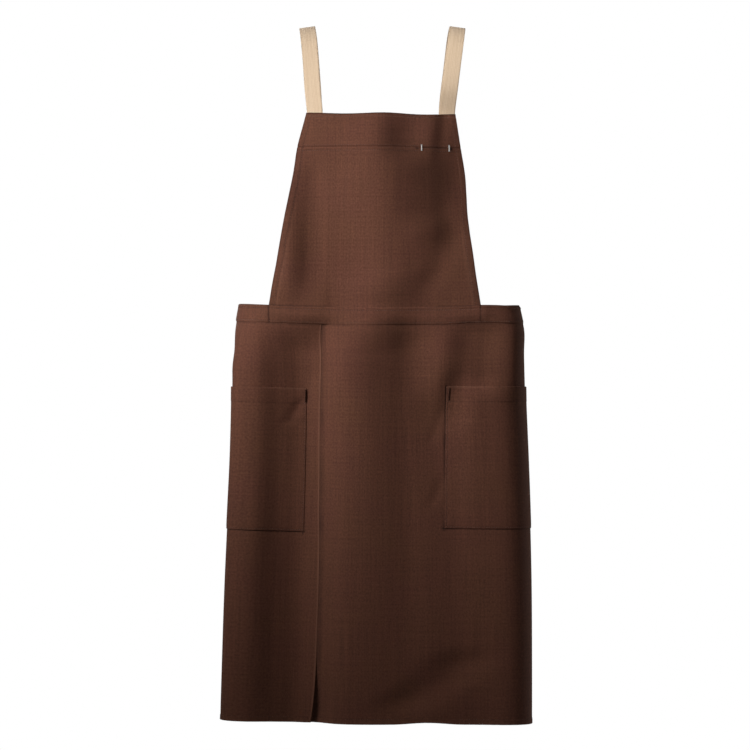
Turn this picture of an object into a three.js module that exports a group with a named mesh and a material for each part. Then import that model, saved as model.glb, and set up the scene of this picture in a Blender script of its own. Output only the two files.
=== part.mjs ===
// A bib apron for work, in the form it takes when worn: a tapered bib with a wide top band and a pen slot,
// a waistband, a wrapped skirt in two overlapping panels with a patch pocket on each side, and two webbing
// straps that run over the shoulders and down the back to the rear ends of the waistband.
// Millimetres, +Z up. The origin lies between the straps where they rest on the shoulders. The front of the
// apron faces -Y, and left and right are as seen from the front.
import * as THREE from "three";

// Cloth and webbing
const CLOTH = 1.2; // wall of one cloth layer
const GAP = 0.4; // clearance between neighbouring layers
const LAYER = CLOTH + GAP; // step from one layer to the next
const LAYER_RAMP = 13; // length over which a layer climbs onto the edge of the one below
const BIB_CLIMB = 60; // height over which the bib climbs onto the top of the skirt
const STRAP_WIDTH = 22;
const STRAP_THICK = 1.6;
const STRAP_GAP = 1.1; // clearance between a flat strap end and the curved cloth that it is sewn to

// Drops below the shoulders
const BIB_TOP = 127;
const BAND_SEAM = 174;
const WAIST_TOP = 394;
const WAIST_SEAM = 416;
const POCKET_TOP = 508;
const POCKET_FOOT = 706;
const HEM = 975;

// Places round the skirt, along the thread from the front centre line, in whole thread steps
const THREAD_STEP = 13;
const SLIT_EDGE = -6 * THREAD_STEP; // free edge of the panel on top
const UNDER_EDGE = -13 * THREAD_STEP; // hidden edge of the panel below
const BACK_EDGE = 32 * THREAD_STEP; // both rear edges
// Each pocket's sides, and how far its mouth stands open at the middle
const LEFT_POCKET = { from: -22 * THREAD_STEP, to: -8 * THREAD_STEP, slack: 1.5 };
const RIGHT_POCKET = { from: 7 * THREAD_STEP, to: 21 * THREAD_STEP, slack: 1.5 };

const SLIT_LIFT = 4; // how far the lower corner of the top panel lifts off the panel below
const SLIT_LIFT_WIDTH = 45;
const SLIT_LIFT_FROM = 825; // drop where that lift begins
const SKIRT_ROW = 31; // height of a row of facets
const PEN_SLOT = { from: 57, to: 98, open: 2.0 }; // across the bib, and the height of the slot
const PEN_BAG = { top: 164, foot: 306 }; // drops of the hidden bag behind the slot
const SEAM_GAP = 0.6; // joint between the band and the panel of the bib

// The form that the cloth hangs on: reach to each side of the plumb line at each drop
const FORM = [
  { drop: 95, left: 146, right: 146, front: 101, back: 92 },
  { drop: 174, left: 172, right: 170, front: 112, back: 97 },
  { drop: 255, left: 190, right: 186, front: 119, back: 101 },
  { drop: 335, left: 196, right: 193, front: 117, back: 103 },
  { drop: 395, left: 197, right: 194, front: 115, back: 105 },
  { drop: 430, left: 200, right: 200, front: 115, back: 108 },
  { drop: 505, left: 192.5, right: 202.5, front: 116, back: 112 },
  { drop: 605, left: 196, right: 207.5, front: 117, back: 116 },
  { drop: 705, left: 200.5, right: 211, front: 118, back: 119 },
  { drop: 805, left: 205.5, right: 212, front: 119, back: 121 },
  { drop: 985, left: 211.5, right: 212, front: 120, back: 124 },
];

// How square the plan is at the front corners and behind: 2 is an ellipse, larger is flatter in front
const CORNERS = [
  { drop: 95, left: 2.9, right: 2.3 },
  { drop: 255, left: 3.4, right: 2.6 },
  { drop: 395, left: 5, right: 8.5 },
  { drop: 455, left: 5, right: 5.2 },
  { drop: 545, left: 5, right: 3.6 },
  { drop: 985, left: 5, right: 3.6 },
];
const BACK_SQUARENESS = 2.35;

// Side edges of the bib at each drop
const BIB_EDGES = [
  { drop: 95, left: -95, right: 99 },
  { drop: 127, left: -102, right: 105 },
  { drop: 174, left: -114.5, right: 113.5 },
  { drop: 212, left: -120, right: 119 },
  { drop: 240, left: -124, right: 121 },
  { drop: 275, left: -132, right: 122.5 },
  { drop: 394, left: -153, right: 139.5 },
];

// Folds in the hang of the cloth, from one drop to another. Each lies at a place along the thread, reaches
// its half width to each side and stands out by its rise, or sinks in where that is negative. Place and rise
// are given at its upper and its lower end, past which it dies away over the length of its fade.
const FOLDS = {
  bib_top_dent: { from: 120, to: 150, fade: 60, half: 52, at: [52, 46], rise: [-12, -12] },
  bib_front_ridge: { from: 170, to: 345, fade: 50, half: 79, at: [-3, 14], rise: [12, 14] },
  bib_left_ridge: { from: 245, to: 345, fade: 58, half: 31, at: [-130, -129], rise: [5, 7] },
  bib_left_valley: { from: 225, to: 345, fade: 58, half: 40, at: [-92, -85], rise: [-6, -5] },
  bib_right_valley: { from: 130, to: 290, fade: 50, half: 54, at: [103, 108], rise: [-9, -6] },
  bib_low_fold: { from: 300, to: 360, fade: 40, half: 37, at: [72, 63], rise: [3, -2] },
  waist_ridge: { from: 385, to: 420, fade: 45, half: 75, at: [2, -14], rise: [14, 14] },
  front_ridge: { from: 470, to: 978, fade: 50, half: 77, at: [-31, -18], rise: [14, 4] },
  left_ridge: { from: 490, to: 978, fade: 86, half: 51, at: [-194, -189], rise: [23, 26] },
  left_valley: { from: 462, to: 978, fade: 58, half: 68, at: [-110, -102], rise: [-19, -24] },
  middle_valley: { from: 446, to: 978, fade: 36, half: 48, at: [50, 47], rise: [-6, 0] },
  pocket_valley: { from: 436, to: 500, fade: 30, half: 36, at: [127, 121], rise: [-6, -6] },
  right_valley: { from: 545, to: 978, fade: 55, half: 57, at: [87, 105], rise: [-10, -3] },
  right_ridge: { from: 480, to: 978, fade: 80, half: 59, at: [183, 183], rise: [10, 14] },
};

// How much lower than level the cloth hangs to the left, in front and to the right
const HANG = [
  { drop: 305, left: 0, front: 0, right: 0 },
  { drop: 405, left: -2.5, front: 2, right: 0 },
  { drop: 985, left: -6, front: 0, right: 2.5 },
];

// Free stretch of each strap: across from the plumb line to either side, depth behind it and drop, from the
// bib to the waist
const STRAP_ROUTE = [
  { left: 94.5, right: 97.5, depth: -80, drop: 88 },
  { left: 97.5, right: 101.5, depth: -63, drop: 52 },
  { left: 101.5, right: 107, depth: -36, drop: 15 },
  { left: 104, right: 110, depth: 0, drop: 0 },
  { left: 103.5, right: 109, depth: 34, drop: 15 },
  { left: 99.5, right: 103.5, depth: 58, drop: 54 },
  { left: 93.5, right: 95, depth: 77, drop: 112 },
  { left: 95, right: 96, depth: 92, drop: 195 },
  { left: 99, right: 100, depth: 98, drop: 285 },
];
const STRAP_AT_BIB = { left: -90.5, right: 93.5 }; // middle of each strap at the top of the bib
const STRAP_TUCK = 30; // length sewn behind the band of the bib
const STRAP_FROM_BACK_EDGE = THREAD_STEP; // middle of a strap to the rear edge of the skirt
const STRAP_STATIONS = 46;
const SHOULDER_SLOPE = THREE.MathUtils.degToRad(8); // the inner edge of a strap lies higher on the shoulder
const SHOULDER_REACH = 70; // depth over which a strap turns to that slope

const { clamp, smoothstep, lerp } = THREE.MathUtils;

// Reads a column of a table at any drop, on a smooth curve through its rows
function tableValue(table, column, drop) {
  const last = table.length - 1;
  let i = 0;
  while (i < last - 1 && table[i + 1].drop < drop) i += 1;
  const slope = (k) => {
    const low = table[Math.max(k - 1, 0)];
    const high = table[Math.min(k + 1, last)];
    return (high[column] - low[column]) / (high.drop - low.drop);
  };
  const a = table[i];
  const b = table[i + 1];
  const span = b.drop - a.drop;
  const t = clamp((drop - a.drop) / span, 0, 1);
  const rise = b[column] - a[column];
  const bend = t * (1 - t) * ((1 - t) * (slope(i) * span - rise) - t * (slope(i + 1) * span - rise));
  return a[column] + rise * t + bend;
}

// Point of the form's outline in plan, at an angle from the front
function outlinePoint(section, angle) {
  const side = angle < 0 ? "left" : "right";
  const inFront = Math.abs(angle) < Math.PI / 2;
  const square = inFront ? section.corners[side] : BACK_SQUARENESS;
  const across = Math.sin(angle) / section[side];
  const along = Math.cos(angle) / (inFront ? section.front : section.back);
  const reach = (Math.abs(across) ** square + Math.abs(along) ** square) ** (-1 / square);
  return new THREE.Vector2(reach * Math.sin(angle), -reach * Math.cos(angle));
}

// The outline at a drop, with the length along it from the front centre line
const OUTLINE_POINTS = 720;
const outlines = new Map();
function outlineAt(drop) {
  if (!outlines.has(drop)) {
    const section = { corners: {} };
    for (const column of ["left", "right", "front", "back"]) {
      section[column] = tableValue(FORM, column, drop);
    }
    for (const side of ["left", "right"]) section.corners[side] = tableValue(CORNERS, side, drop);
    const points = [];
    for (let i = 0; i <= OUTLINE_POINTS; i += 1) {
      points.push(outlinePoint(section, (2 * i / OUTLINE_POINTS - 1) * Math.PI));
    }
    const lengths = [0];
    for (let i = 1; i < points.length; i += 1) {
      lengths.push(lengths[i - 1] + points[i].distanceTo(points[i - 1]));
    }
    const middle = lengths[OUTLINE_POINTS / 2];
    outlines.set(drop, { section, points, lengths: lengths.map((l) => l - middle) });
  }
  return outlines.get(drop);
}

// Point of the outline at a length from the front centre line
function outlineAlong(outline, length) {
  let low = 0;
  let high = outline.lengths.length - 1;
  while (high - low > 1) {
    const half = (low + high) >> 1;
    if (outline.lengths[half] > length) high = half;
    else low = half;
  }
  const share = (length - outline.lengths[low]) / (outline.lengths[high] - outline.lengths[low]);
  return outline.points[low].clone().lerp(outline.points[high], share);
}

// The skirt is cut with a flare, so a thread line moves out with the form below the waist
function lengthOfThread(drop, thread) {
  if (drop <= WAIST_SEAM) return thread;
  const column = thread < 0 ? "left" : "right";
  return thread * tableValue(FORM, column, drop) / tableValue(FORM, column, WAIST_SEAM);
}

// Thread place on the front of the form that lies at a distance across
function threadAtAcross(drop, across) {
  const outline = outlineAt(drop);
  let low = outline.lengths[OUTLINE_POINTS / 4];
  let high = outline.lengths[OUTLINE_POINTS * 3 / 4];
  while (high - low > 0.001) {
    const half = (low + high) / 2;
    if (outlineAlong(outline, half).x > across) high = half;
    else low = half;
  }
  return low;
}

// How far the folds carry the cloth out of the plain form
function foldRise(drop, thread) {
  let total = 0;
  for (const { from, to, fade, half, at, rise } of Object.values(FOLDS)) {
    const share = clamp((drop - from) / (to - from), 0, 1);
    const strength = smoothstep(drop, from - fade, from) * (1 - smoothstep(drop, to, to + fade));
    const aside = clamp(Math.abs(thread - lerp(at[0], at[1], share)) / half, 0, 1);
    total += strength * lerp(rise[0], rise[1], share) * (1 - aside ** 2) ** 3;
  }
  return total;
}

// How much lower than level the cloth hangs
function hangDrop(drop, across, section) {
  const side = clamp(across < 0 ? -across / section.left : across / section.right, 0, 1) ** 2;
  return lerp(tableValue(HANG, "front", drop), tableValue(HANG, across < 0 ? "left" : "right", drop), side);
}

// Outward direction of the form in plan
const NORMAL_REACH = 3;
function outwardAt(outline, length) {
  const before = outlineAlong(outline, length - NORMAL_REACH);
  const ahead = outlineAlong(outline, length + NORMAL_REACH).sub(before).normalize();
  return new THREE.Vector2(ahead.y, -ahead.x);
}

// Plan point of the form with its folds, at a drop and a thread place
function foldedPoint(drop, thread) {
  const outline = outlineAt(drop);
  const length = lengthOfThread(drop, thread);
  return outlineAlong(outline, length).addScaledVector(outwardAt(outline, length), foldRise(drop, thread));
}

// Point of the hanging cloth at a drop and a thread place, at a distance square to the folded form
function clothPoint(drop, thread, outside) {
  const outline = outlineAt(drop);
  const plain = outlineAlong(outline, lengthOfThread(drop, thread));
  const z = -drop - hangDrop(drop, plain.x, outline.section);
  const before = foldedPoint(drop, thread - NORMAL_REACH);
  const ahead = foldedPoint(drop, thread + NORMAL_REACH).sub(before).normalize();
  const place = foldedPoint(drop, thread).addScaledVector(new THREE.Vector2(ahead.y, -ahead.x), outside);
  return new THREE.Vector3(place.x, place.y, z);
}

// 1 between two thread places, falling to 0 beyond them so that a layer climbs gently onto another's edge
function covered(thread, from, to) {
  return smoothstep(thread, from - LAYER_RAMP, from) * (1 - smoothstep(thread, to, to + LAYER_RAMP));
}

// Inner face of each layer, outside the form
const overInner = (thread) => LAYER * covered(thread, UNDER_EDGE, SLIT_EDGE);
const skirtOuter = (thread) => CLOTH + overInner(thread);
function bibInner(drop, thread) {
  return (skirtOuter(thread) + GAP) * smoothstep(drop, WAIST_TOP - BIB_CLIMB, WAIST_TOP - BIB_CLIMB / 5);
}
function waistbandInner(thread) {
  const edges = bibEdges(WAIST_TOP);
  const from = Math.floor(edges.left / THREAD_STEP) * THREAD_STEP;
  const to = Math.ceil(edges.right / THREAD_STEP) * THREAD_STEP;
  return skirtOuter(thread) + GAP + LAYER * covered(thread, from, to);
}

// Thread places of the bib's side edges, which run straight down behind the waistband
function bibEdges(drop) {
  const seen = Math.min(drop, WAIST_TOP);
  return {
    left: threadAtAcross(seen, tableValue(BIB_EDGES, "left", seen)),
    right: threadAtAcross(seen, tableValue(BIB_EDGES, "right", seen)),
  };
}

// A closed wall over rows of drops and columns of shares or threads. placeOf gives the point of a face,
// with side 0 for the inner face and 1 for the outer one.
function wall(rows, columns, placeOf) {
  const positions = [];
  const index = [];
  const across = columns.length;
  const face = rows.length * across;
  for (const side of [0, 1]) {
    for (const row of rows) {
      for (const column of columns) positions.push(...placeOf(row, column, side).toArray());
    }
  }
  const quad = (a, b, c, d) => index.push(a, b, c, a, c, d);
  const at = (side, i, j) => side * face + i * across + j;
  const lastRow = rows.length - 1;
  const lastColumn = across - 1;
  for (let i = 0; i < lastRow; i += 1) {
    for (let j = 0; j < lastColumn; j += 1) {
      quad(at(1, i, j), at(1, i + 1, j), at(1, i + 1, j + 1), at(1, i, j + 1));
      quad(at(0, i, j), at(0, i, j + 1), at(0, i + 1, j + 1), at(0, i + 1, j));
    }
    quad(at(0, i, 0), at(0, i + 1, 0), at(1, i + 1, 0), at(1, i, 0));
    quad(at(1, i, lastColumn), at(1, i + 1, lastColumn), at(0, i + 1, lastColumn), at(0, i, lastColumn));
  }
  for (let j = 0; j < lastColumn; j += 1) {
    quad(at(0, 0, j), at(1, 0, j), at(1, 0, j + 1), at(0, 0, j + 1));
    quad(at(1, lastRow, j), at(0, lastRow, j), at(0, lastRow, j + 1), at(1, lastRow, j + 1));
  }
  const geometry = new THREE.BufferGeometry();
  geometry.setAttribute("position", new THREE.Float32BufferAttribute(positions, 3));
  geometry.setIndex(index);
  geometry.computeVertexNormals();
  return geometry;
}

// Evenly spaced numbers from one value to another, about a step apart
function spaced(from, to, step) {
  const count = Math.max(1, Math.round((to - from) / step));
  return Array.from({ length: count + 1 }, (_, i) => lerp(from, to, i / count));
}

// The rows of the skirt are shared by its panels and pockets, so that their facets stay parallel
const skirtRows = [
  WAIST_TOP,
  ...spaced(WAIST_SEAM, POCKET_TOP, SKIRT_ROW),
  ...spaced(POCKET_TOP, POCKET_FOOT, SKIRT_ROW).slice(1),
  ...spaced(POCKET_FOOT, HEM, SKIRT_ROW).slice(1),
];
const threads = (from, to) => spaced(from, to, THREAD_STEP);

const twill = new THREE.MeshStandardMaterial({ color: 0x5a382b, roughness: 0.9, metalness: 0 });
const webbing = new THREE.MeshStandardMaterial({ color: 0xdec6a6, roughness: 0.85, metalness: 0 });

function piece(name, geometry, material) {
  const mesh = new THREE.Mesh(geometry, material.clone());
  mesh.name = name;
  return mesh;
}

// Skirt: the panel on top carries the left pocket and ends in the free edge of the slit
function slitLift(drop, thread) {
  const low = smoothstep(drop, SLIT_LIFT_FROM, HEM);
  return SLIT_LIFT * low * smoothstep(thread, SLIT_EDGE - SLIT_LIFT_WIDTH, SLIT_EDGE);
}
const overPanel = wall(skirtRows, threads(-BACK_EDGE, SLIT_EDGE), (drop, thread, side) =>
  clothPoint(drop, thread, overInner(thread) + slitLift(drop, thread) + side * CLOTH));
const underPanel = wall(skirtRows, threads(UNDER_EDGE, BACK_EDGE), (drop, thread, side) =>
  clothPoint(drop, thread, side * CLOTH));

// Patch pocket: sewn along its sides and foot, slack at its mouth
function pocketGeometry({ from, to, slack }, inner) {
  const rows = skirtRows.filter((drop) => drop >= POCKET_TOP && drop <= POCKET_FOOT);
  return wall(rows, threads(from, to), (drop, thread, side) => {
    const middle = Math.sin(Math.PI * (thread - from) / (to - from));
    const up = (POCKET_FOOT - drop) / (POCKET_FOOT - POCKET_TOP);
    return clothPoint(drop, thread, inner(thread) + slack * middle * up ** 2 + side * CLOTH);
  });
}

// Waistband: one strip that lies over the skirt panels and the foot of the bib
const waistband = wall([WAIST_TOP, WAIST_SEAM], threads(-BACK_EDGE, BACK_EDGE), (drop, thread, side) =>
  clothPoint(drop, thread, waistbandInner(thread) + side * CLOTH));

// Bib: a band above and a panel below, on the same columns, joined but for the pen slot. The columns meet
// the thread lines of the skirt at the waist, and gather towards the top as the bib narrows.
function bibThread(drop, share) {
  const edges = bibEdges(drop);
  return lerp(edges.left, edges.right, share);
}
function bibShare(drop, thread) {
  const edges = bibEdges(drop);
  return (thread - edges.left) / (edges.right - edges.left);
}
const bibPoint = (drop, share, outside) => clothPoint(drop, bibThread(drop, share), outside);
const slotShares = [PEN_SLOT.from, PEN_SLOT.to]
  .map((across) => bibShare(BAND_SEAM, threadAtAcross(BAND_SEAM, across)));
const bibColumns = threads(-BACK_EDGE, BACK_EDGE)
  .map((thread) => bibShare(WAIST_TOP, thread))
  .filter((share) => share > 0 && share < 1)
  .concat(0, 1, slotShares)
  .sort((a, b) => a - b);
const bandRows = spaced(BIB_TOP, PEN_BAG.top, 20).concat(BAND_SEAM - SEAM_GAP / 2);
const bibBand = wall(bandRows, bibColumns, (drop, share, side) => bibPoint(drop, share, side * CLOTH));
const panelRows = spaced(BAND_SEAM + SEAM_GAP / 2, WAIST_TOP, SKIRT_ROW).concat(WAIST_SEAM);
const bibPanel = wall(panelRows, bibColumns, (drop, share, side) => {
  const [from, to] = slotShares;
  const inSlot = drop === panelRows[0] && share > from && share < to;
  const lowered = inSlot ? drop + PEN_SLOT.open : drop;
  return bibPoint(lowered, share, bibInner(drop, bibThread(drop, share)) + side * CLOTH);
});

// Pen bag: a plain patch behind the bib that closes the slot from behind, a column wider on each side
const [slotStart, slotEnd] = slotShares.map((share) => bibColumns.indexOf(share));
const bagColumns = bibColumns.slice(slotStart - 1, slotEnd + 2);
const bagRows = [...bandRows, ...panelRows].filter((drop) => drop >= PEN_BAG.top && drop <= PEN_BAG.foot);
const penBag = wall(bagRows, bagColumns, (drop, share, side) =>
  bibPoint(drop, share, side * CLOTH - LAYER));

// Strap: flat webbing swept along its route, with both sewn ends lying along the cloth
function strapGeometry(side) {
  const hand = side === "left" ? -1 : 1;
  const bibEnd = threadAtAcross(BIB_TOP, STRAP_AT_BIB[side]);
  const backEnd = hand * (BACK_EDGE - STRAP_FROM_BACK_EDGE);
  const inside = -(STRAP_GAP + STRAP_THICK / 2);
  const sewnDrops = [BIB_TOP + STRAP_TUCK, BIB_TOP + STRAP_TUCK / 2, BIB_TOP];
  const behindBib = sewnDrops.map((drop) => clothPoint(drop, bibEnd, inside));
  const behindSkirt = [WAIST_TOP, WAIST_SEAM].map((drop) => clothPoint(drop, backEnd, inside));
  const free = STRAP_ROUTE.map((row) => new THREE.Vector3(hand * row[side], row.depth, -row.drop));
  const route = new THREE.CatmullRomCurve3([...behindBib, ...free, ...behindSkirt], false, "centripetal");

  const widthAlong = (drop, thread) => {
    const before = foldedPoint(drop, thread - STRAP_WIDTH / 2);
    const ahead = foldedPoint(drop, thread + STRAP_WIDTH / 2).sub(before).normalize();
    return new THREE.Vector3(ahead.x, ahead.y, 0);
  };
  const bibWidth = widthAlong(BIB_TOP, bibEnd);
  const backWidth = widthAlong(WAIST_TOP, backEnd).negate();
  const points = route.getSpacedPoints(STRAP_STATIONS);
  const rows = points.map((_, i) => i);
  const top = points.reduce((best, p, i) => (p.z > points[best].z ? i : best), 0);
  return wall(rows, [-1, 1], (i, edge, face) => {
    const ahead = route.getTangentAt(i / STRAP_STATIONS);
    const toShoulder = smoothstep(Math.abs(points[i].y), 0, SHOULDER_REACH);
    const slope = -hand * SHOULDER_SLOPE * (1 - toShoulder);
    const level = new THREE.Vector3(Math.cos(slope), 0, Math.sin(slope));
    const sewn = i < top ? bibWidth : backWidth;
    const width = level.lerp(sewn, toShoulder);
    width.addScaledVector(ahead, -width.dot(ahead)).normalize();
    const out = new THREE.Vector3().crossVectors(ahead, width);
    return points[i].clone()
      .addScaledVector(width, edge * STRAP_WIDTH / 2)
      .addScaledVector(out, (face - 0.5) * STRAP_THICK);
  });
}

const apron = new THREE.Group();
apron.add(
  piece("bib_panel", bibPanel, twill),
  piece("bib_top_band", bibBand, twill),
  piece("pen_pocket_bag", penBag, twill),
  piece("waistband", waistband, twill),
  piece("skirt_over_panel", overPanel, twill),
  piece("skirt_under_panel", underPanel, twill),
  piece("pocket_left", pocketGeometry(LEFT_POCKET, (thread) => overInner(thread) + LAYER), twill),
  piece("pocket_right", pocketGeometry(RIGHT_POCKET, () => LAYER), twill),
  piece("strap_left", strapGeometry("left"), webbing),
  piece("strap_right", strapGeometry("right"), webbing),
);

export default apron;
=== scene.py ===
"""A brown bib work apron in the form it takes when worn, on the same frame as its solids."""

import math

import bpy
import numpy as np
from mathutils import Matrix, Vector


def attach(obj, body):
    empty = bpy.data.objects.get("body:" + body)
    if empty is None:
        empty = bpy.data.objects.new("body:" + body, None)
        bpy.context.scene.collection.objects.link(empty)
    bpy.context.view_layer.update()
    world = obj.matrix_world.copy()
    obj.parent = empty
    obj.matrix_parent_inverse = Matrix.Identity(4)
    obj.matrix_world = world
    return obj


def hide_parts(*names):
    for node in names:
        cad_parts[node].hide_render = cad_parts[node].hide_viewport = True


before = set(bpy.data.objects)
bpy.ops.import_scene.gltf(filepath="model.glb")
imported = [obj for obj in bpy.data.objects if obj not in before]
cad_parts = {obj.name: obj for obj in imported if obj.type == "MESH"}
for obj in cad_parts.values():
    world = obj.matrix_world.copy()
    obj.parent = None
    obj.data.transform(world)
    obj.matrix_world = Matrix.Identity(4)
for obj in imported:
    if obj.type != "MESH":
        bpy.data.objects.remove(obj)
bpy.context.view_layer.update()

MM = 0.001  # tables and lengths below are in millimetres, meshes in metres

# Cloth and webbing
CLOTH = 1.2
POCKET_CLOTH = 0.9
GAP = 0.4  # clearance between neighbouring layers
LAYER = CLOTH + GAP
ON_CLOTH = 0.1  # clearance of a sewn piece or a stitch on the cloth below
LAYER_RAMP = 13.0  # length over which a layer climbs onto the edge of the one below
BIB_CLIMB = 60.0  # height over which the bib climbs onto the top of the skirt
STRAP_WIDTH = 22.0
STRAP_THICK = 1.6
STRAP_GAP = 1.1  # clearance between a flat strap end and the curved cloth

# Drops below the shoulders
BIB_TOP = 127.0
BAND_SEAM = 174.0
WAIST_TOP = 394.0
WAIST_SEAM = 418.0
HEM = 975.0

# Places along the thread from the front centre line
SLIT_EDGE = -80.5
UNDER_EDGE = -169.0
BACK_EDGE = 416.0
THREAD_STEP = 13.0  # step of the solids' columns
BIB_WIDTH = 270.0  # about the bib's mean width, which spaces its columns

# Sides and ends of the pockets, the lean of the free side, the tilt of mouth and foot, and the mouth's slack
LEFT_POCKET = {
    "from": -286.0, "to": -106.3, "top": 508.4, "foot": 708.8,
    "lean": 0.0, "tilt": (3.0, 0.0), "slack": 0.6,
}
RIGHT_POCKET = {
    "from": 90.4, "to": 273.0, "top": 504.4, "foot": 702.3,
    "lean": -5.6, "tilt": (4.0, 2.5), "slack": 1.4,
}

# The slit, the hem and the pen slot
SLIT_LIFT = 3.0  # how far the upper panel's lower corner stands off
SLIT_LIFT_WIDTH = 45.0
SLIT_LIFT_FROM = 875.0
SLIT_REACH = 60.0  # width over which the cloth eases beside the slit
SLIT_RECESS = 7.0  # how far the under panel falls back behind the slit at the hem
HEM_LIFT = 2.4  # how far the hem rises right of the middle
PEN_SLOT = {"from": 60.0, "to": 103.0, "open": 1.0}
SLOT_EASE = 0.015  # share of the bib's width over which the slot opens at each end
PEN_BAG = {"top": 164.0, "foot": 300.0}
BAG_STITCH = 3.5

# Stitching and hems
STITCH_PITCH = 3.3
STITCH_LENGTH = 2.5
STITCH_RADIUS = 0.32
HEM_STITCH = 7.0
SIDE_HEM = 8.0
SIDE_HEM_SHOWS = (220.0, 330.0)  # drops over which the painted shade along the bib's side hems grows and the lighter line inside them comes in
SLIT_PRESS = 10.0  # width over which the slit's edge is pressed flat
POCKET_HEM = 21.0
EDGE_STITCH = 2.4
BACK_HEM = 7.0
TOP_STITCH = 4.2
SEAM_ROW = 5.0
TACK_PITCH = 0.42
FAR = 99.0  # a distance at which no seam shows

# The form that the cloth hangs on, and how square its plan is at the front corners
FORM = [
    {"drop": 95, "left": 146, "right": 146, "front": 101, "back": 92},
    {"drop": 174, "left": 172, "right": 170, "front": 112, "back": 97},
    {"drop": 255, "left": 190, "right": 186, "front": 119, "back": 101},
    {"drop": 335, "left": 196, "right": 193, "front": 117, "back": 103},
    {"drop": 395, "left": 196.5, "right": 194, "front": 115, "back": 105},
    {"drop": 430, "left": 201.5, "right": 201, "front": 118, "back": 108},
    {"drop": 465, "left": 195, "right": 200.5, "front": 118, "back": 110},
    {"drop": 505, "left": 193.5, "right": 202.5, "front": 117, "back": 112},
    {"drop": 605, "left": 196, "right": 207.5, "front": 117, "back": 116},
    {"drop": 705, "left": 201, "right": 211, "front": 118, "back": 119},
    {"drop": 805, "left": 205.5, "right": 212.5, "front": 119, "back": 121},
    {"drop": 985, "left": 211.5, "right": 212, "front": 120, "back": 124},
]
CORNERS = [
    {"drop": 95, "left": 2.9, "right": 1.8},
    {"drop": 255, "left": 3.4, "right": 2.6},
    {"drop": 395, "left": 5.0, "right": 8.5},
    {"drop": 455, "left": 5.0, "right": 5.2},
    {"drop": 545, "left": 5.0, "right": 3.6},
    {"drop": 985, "left": 5.0, "right": 3.6},
]
BACK_SQUARENESS = 2.35
# Side edges of the bib, across from the centre
BIB_EDGES = [
    {"drop": 95, "left": -95, "right": 109},
    {"drop": 127, "left": -102, "right": 114},
    {"drop": 174, "left": -114.5, "right": 119.8},
    {"drop": 212, "left": -120.5, "right": 124.5},
    {"drop": 240, "left": -125, "right": 125.3},
    {"drop": 275, "left": -131.5, "right": 125.3},
    {"drop": 335, "left": -142.3, "right": 130.4},
    {"drop": 394, "left": -153, "right": 139.5},
]
# How much lower the cloth hangs at the left side, in front and at the right side
HANG = [
    {"drop": 305, "left": 0, "front": 0, "right": 0},
    {"drop": 405, "left": -2.5, "front": 3.2, "right": 0},
    {"drop": 985, "left": -6, "front": 0, "right": 2.5},
]

# Folds in the hang of the cloth: drops, place along the thread and rise, at the upper and the lower end
FOLDS = {
    "bib_top_dent": {"drops": (120, 150), "fade": 60, "half": 58, "at": (45, 40), "rise": (-13, -15)},
    "bib_front_ridge": {"drops": (170, 345), "fade": 50, "half": 70, "at": (-5, 16), "rise": (10, 13)},
    "bib_left_ridge": {"drops": (245, 345), "fade": 58, "half": 31, "at": (-130, -129), "rise": (5, 7)},
    "bib_left_valley": {"drops": (225, 345), "fade": 58, "half": 58, "at": (-88, -77), "rise": (-6.5, -5)},
    "bib_right_valley": {"drops": (130, 290), "fade": 50, "half": 80, "at": (106, 117), "rise": (-17, -11)},
    "bib_low_fold": {"drops": (300, 360), "fade": 40, "half": 54, "at": (61, 65), "rise": (6, 2)},
    "waist_ridge": {"drops": (385, 420), "fade": 45, "half": 75, "at": (2, -14), "rise": (8, 15)},
    "front_ridge": {"drops": (470, 978), "fade": 50, "half": 77, "at": (-31, -18), "rise": (14, 4)},
    "left_ridge": {"drops": (490, 978), "fade": 86, "half": 51, "at": (-194, -189), "rise": (23, 26)},
    "left_valley": {"drops": (462, 978), "fade": 58, "half": 68, "at": (-110, -102), "rise": (-19, -24)},
    "middle_valley": {"drops": (446, 978), "fade": 36, "half": 48, "at": (50, 47), "rise": (-6, 0)},
    "pocket_valley": {"drops": (436, 500), "fade": 30, "half": 45, "at": (127, 121), "rise": (-7.6, -6.5)},
    "right_valley": {"drops": (545, 978), "fade": 55, "half": 57, "at": (87, 105), "rise": (-10, -3)},
    "right_ridge": {"drops": (480, 978), "fade": 80, "half": 59, "at": (183, 183), "rise": (10, 14)},
}

# Fine creases of the worn cloth: drop and place along the thread of each point of their paths
CREASES = {
    "strap_pull": {"path": [(60, 116), (127, 101), (160, 93), (205, 87)], "half": 21, "rise": -2.6},
    "bib_diagonal": {
        "path": [(215, 92), (262, 89), (300, 95), (334, 86), (360, 72), (398, 51)],
        "half": 32, "rise": -1.9,
    },
    "bib_left_fold": {"path": [(150, -95), (250, -92), (330, -94), (392, -90)], "half": 26, "rise": -2.0},
    "waist_tuck": {"path": [(395, -82), (440, -80), (480, -80), (515, -85)], "half": 34, "rise": -4.2},
    "right_hip": {"path": [(405, 158), (450, 157), (490, 154), (520, 151)], "half": 34, "rise": -6.0},
    "middle_turn": {"path": [(470, 102), (520, 102), (575, 102)], "half": 34, "rise": -4.0},
    "left_side_turn": {
        "path": [(470, -154), (600, -154), (760, -142), (1100, -150)],
        "half": 56, "rise": -5.0,
    },
    "left_pocket_sag": {"path": [(516, -106), (538, -124), (566, -142)], "half": 17, "rise": -1.5},
    "right_pocket_pull": {"path": [(528, 84), (556, 78), (590, 64)], "half": 12, "rise": -1.0},
    "right_pocket_low_pull": {"path": [(625, 84), (652, 76), (680, 62)], "half": 14, "rise": -1.2},
    "hem_pull": {
        "path": [(862, 118), (885, 106), (911, 84), (940, 46), (972, 14)],
        "half": 68, "rise": -6.5,
    },
}
CREASE_FADE = 0.3  # share of its length over which a crease fades at each end

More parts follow.
